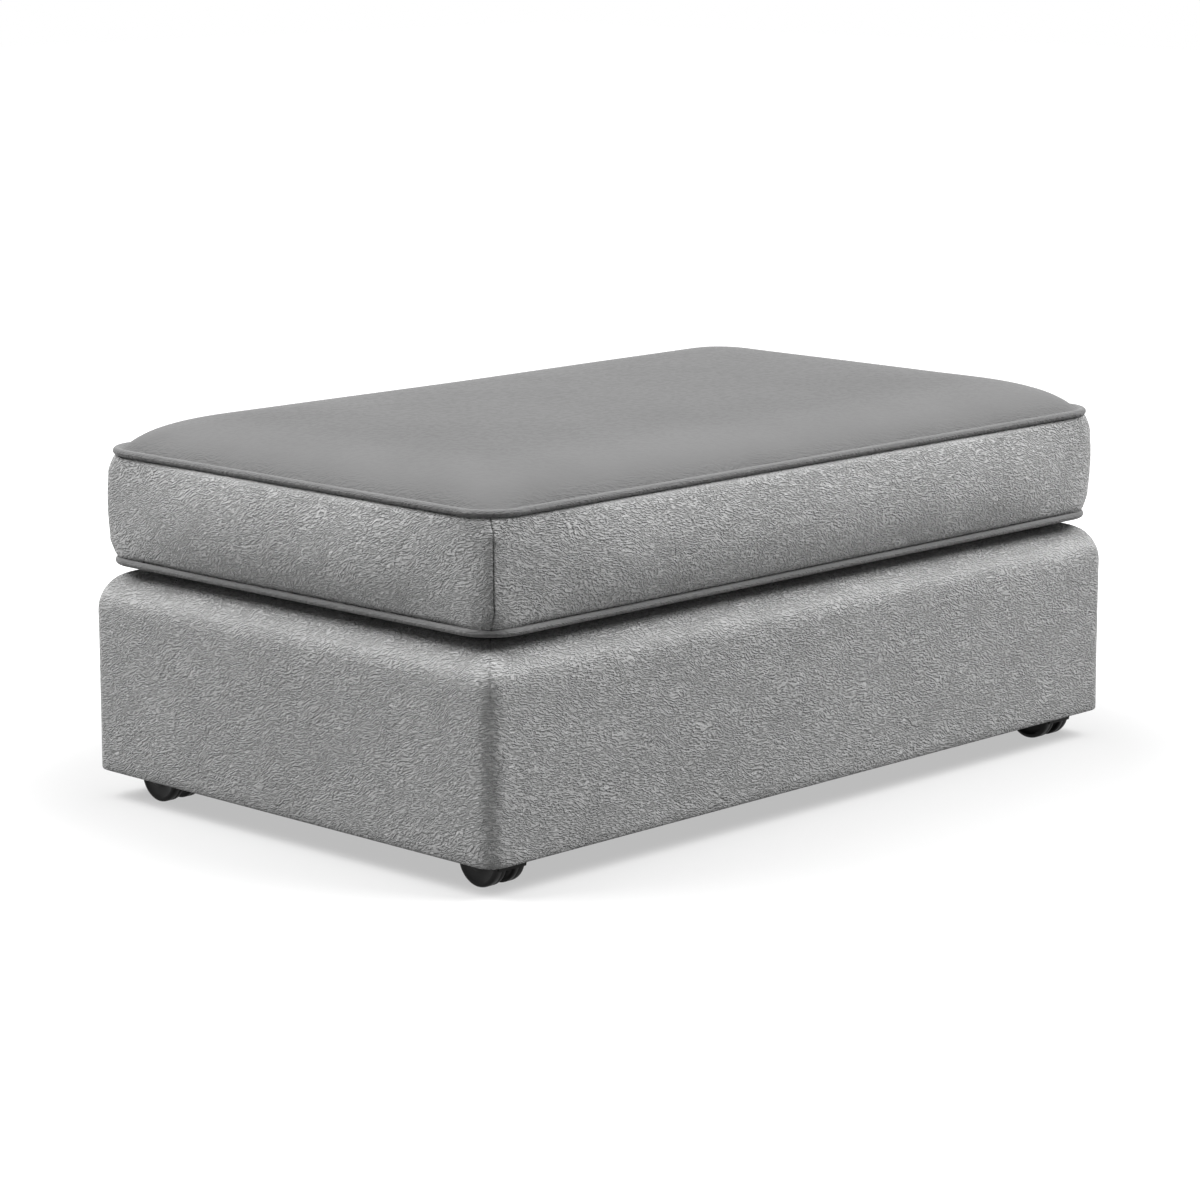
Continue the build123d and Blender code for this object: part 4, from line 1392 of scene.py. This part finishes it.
class OTTOMAN_OT_finishes(bpy.types.Operator):
    """The finishes of all pieces, and those of the CAD parts that stay"""

    bl_idname = "ottoman.finishes"
    bl_label = "Finishes"

    def execute(self, context):
        finish = context.scene.ottoman_finish
        grained = grained_leather(
            "grained_leather", finish.leather, pebble=1.7, crease=62, depth=2.9, lacquer=0.15,
            valley_shade=0.76,
        )
        # The drawn top: smoother grain, and a darker colour that is painted shade
        grained_leather(
            "drawn_shaded_leather", finish.top, pebble=2.6, crease=90, depth=0.9, lacquer=0.03, valley_shade=0.95
        )
        # The welts: a darker colour that is painted shade
        grained_leather(
            "welt_casing_shaded_leather", finish.welt, pebble=1.9, crease=60, depth=0.9, lacquer=0.12,
            valley_shade=0.86,
        )
        nylon = finish.caster
        made = {
            "fibreboard": pressed_board("brown_fibreboard", "#6f5238"),
            "webbing": woven_cloth("woven_elastic_webbing", "#9a7c4c", 1.6, 0.35),
            "foam": open_foam("cream_foam", "#e3dcc4"),
            "fibre": lofty_fibre("white_polyester_fibre", "#eeeeee"),
            "lining_cloth": woven_cloth("black_woven_lining", "#2a2a2a", 0.7, 0.12),
            "dust_cloth": spunbond("black_spunbond_cloth", "#1a1a1a"),
            "zip_tape": woven_cloth("woven_zip_tape", "#4a4a4a", 0.8, 0.15, "Z"),
            # Plated metal: blurred bright streaks along its bends
            "zip_metal": plain_finish("dark_plated_zinc", "#77777a", 0.33, 0.012, metallic=1.0),
            "socket_steel": plain_finish(
                "pressed_zinc_steel", "#c4c4c6", 0.35, 0.015, metallic=1.0
            ),
            "caster_steel": plain_finish("turned_zinc_steel", "#c8c8ca", 0.3, 0.01, metallic=1.0),
            # Nylon: dark and dull, with a soft grey sheen where it turns to the light
            "zip_coil": plain_finish("nylon_zip_coil", "#454545", 0.45, 0.01),
            "caster_housing": plain_finish("moulded_black_nylon", nylon, 0.5, 0.02, sheen=0.15),
            "caster_wheel": plain_finish("black_nylon_wheel", nylon, 0.45, 0.015, sheen=0.2),
        }
        planks = [
            sawn_wood(f"softwood_along_{way}", "#c9a877", axis) for axis, way in enumerate("xyz")
        ]
        # The boxes of these nodes span several boards, which lie along Y and stand along Z
        ways = {"stretchers": 1, "corner_posts": 2, "corner_boards": 2}
        slots = {part["node"]: part["material_slot"] for part in frame["record"]["subparts"]}
        for name, node in frame["nodes"].items():
            low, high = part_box(name)
            size = high - low
            plank = planks[ways.get(name, max(range(3), key=lambda axis: size[axis]))]
            shown = plank if slots[name] == "wood" else made.get(slots[name], grained)
            node.data.materials.clear()
            node.data.materials.append(shown)
        return {"FINISHED"}


class OTTOMAN_PT_panel(bpy.types.Panel):
    """Buttons for each group of pieces"""

    bl_idname = "OTTOMAN_PT_panel"
    bl_label = "Ottoman"
    bl_space_type = "VIEW_3D"
    bl_region_type = "UI"
    bl_category = "Ottoman"

    def draw(self, context):
        for step in STEPS:
            self.layout.operator(step.bl_idname)


STEPS = (
    OTTOMAN_OT_stage,
    OTTOMAN_OT_finishes,
    OTTOMAN_OT_cushion,
    OTTOMAN_OT_welts,
    OTTOMAN_OT_skirt,
    OTTOMAN_OT_filling,
    OTTOMAN_OT_cloths,
    OTTOMAN_OT_zip,
    OTTOMAN_OT_casters,
)
GROUPS = {
    "ottoman_cushion": OttomanCushion,
    "ottoman_base": OttomanBase,
    "ottoman_finish": OttomanFinish,
    "ottoman_stage": OttomanStage,
}
CLASSES = (*GROUPS.values(), *STEPS, OTTOMAN_PT_panel)


def register():
    for kind in CLASSES:
        bpy.utils.register_class(kind)
    for name, group in GROUPS.items():
        setattr(bpy.types.Scene, name, bpy.props.PointerProperty(type=group))


def unregister():
    for name in GROUPS:
        delattr(bpy.types.Scene, name)
    for kind in reversed(CLASSES):
        bpy.utils.unregister_class(kind)


def main():
    register()
    bpy.ops.ottoman.stage()
    bpy.ops.ottoman.finishes()
    bpy.ops.ottoman.cushion()
    bpy.ops.ottoman.welts()
    bpy.ops.ottoman.skirt()
    bpy.ops.ottoman.filling()
    bpy.ops.ottoman.cloths()
    bpy.ops.ottoman.zip()
    bpy.ops.ottoman.casters()


if __name__ == "__main__":
    main()
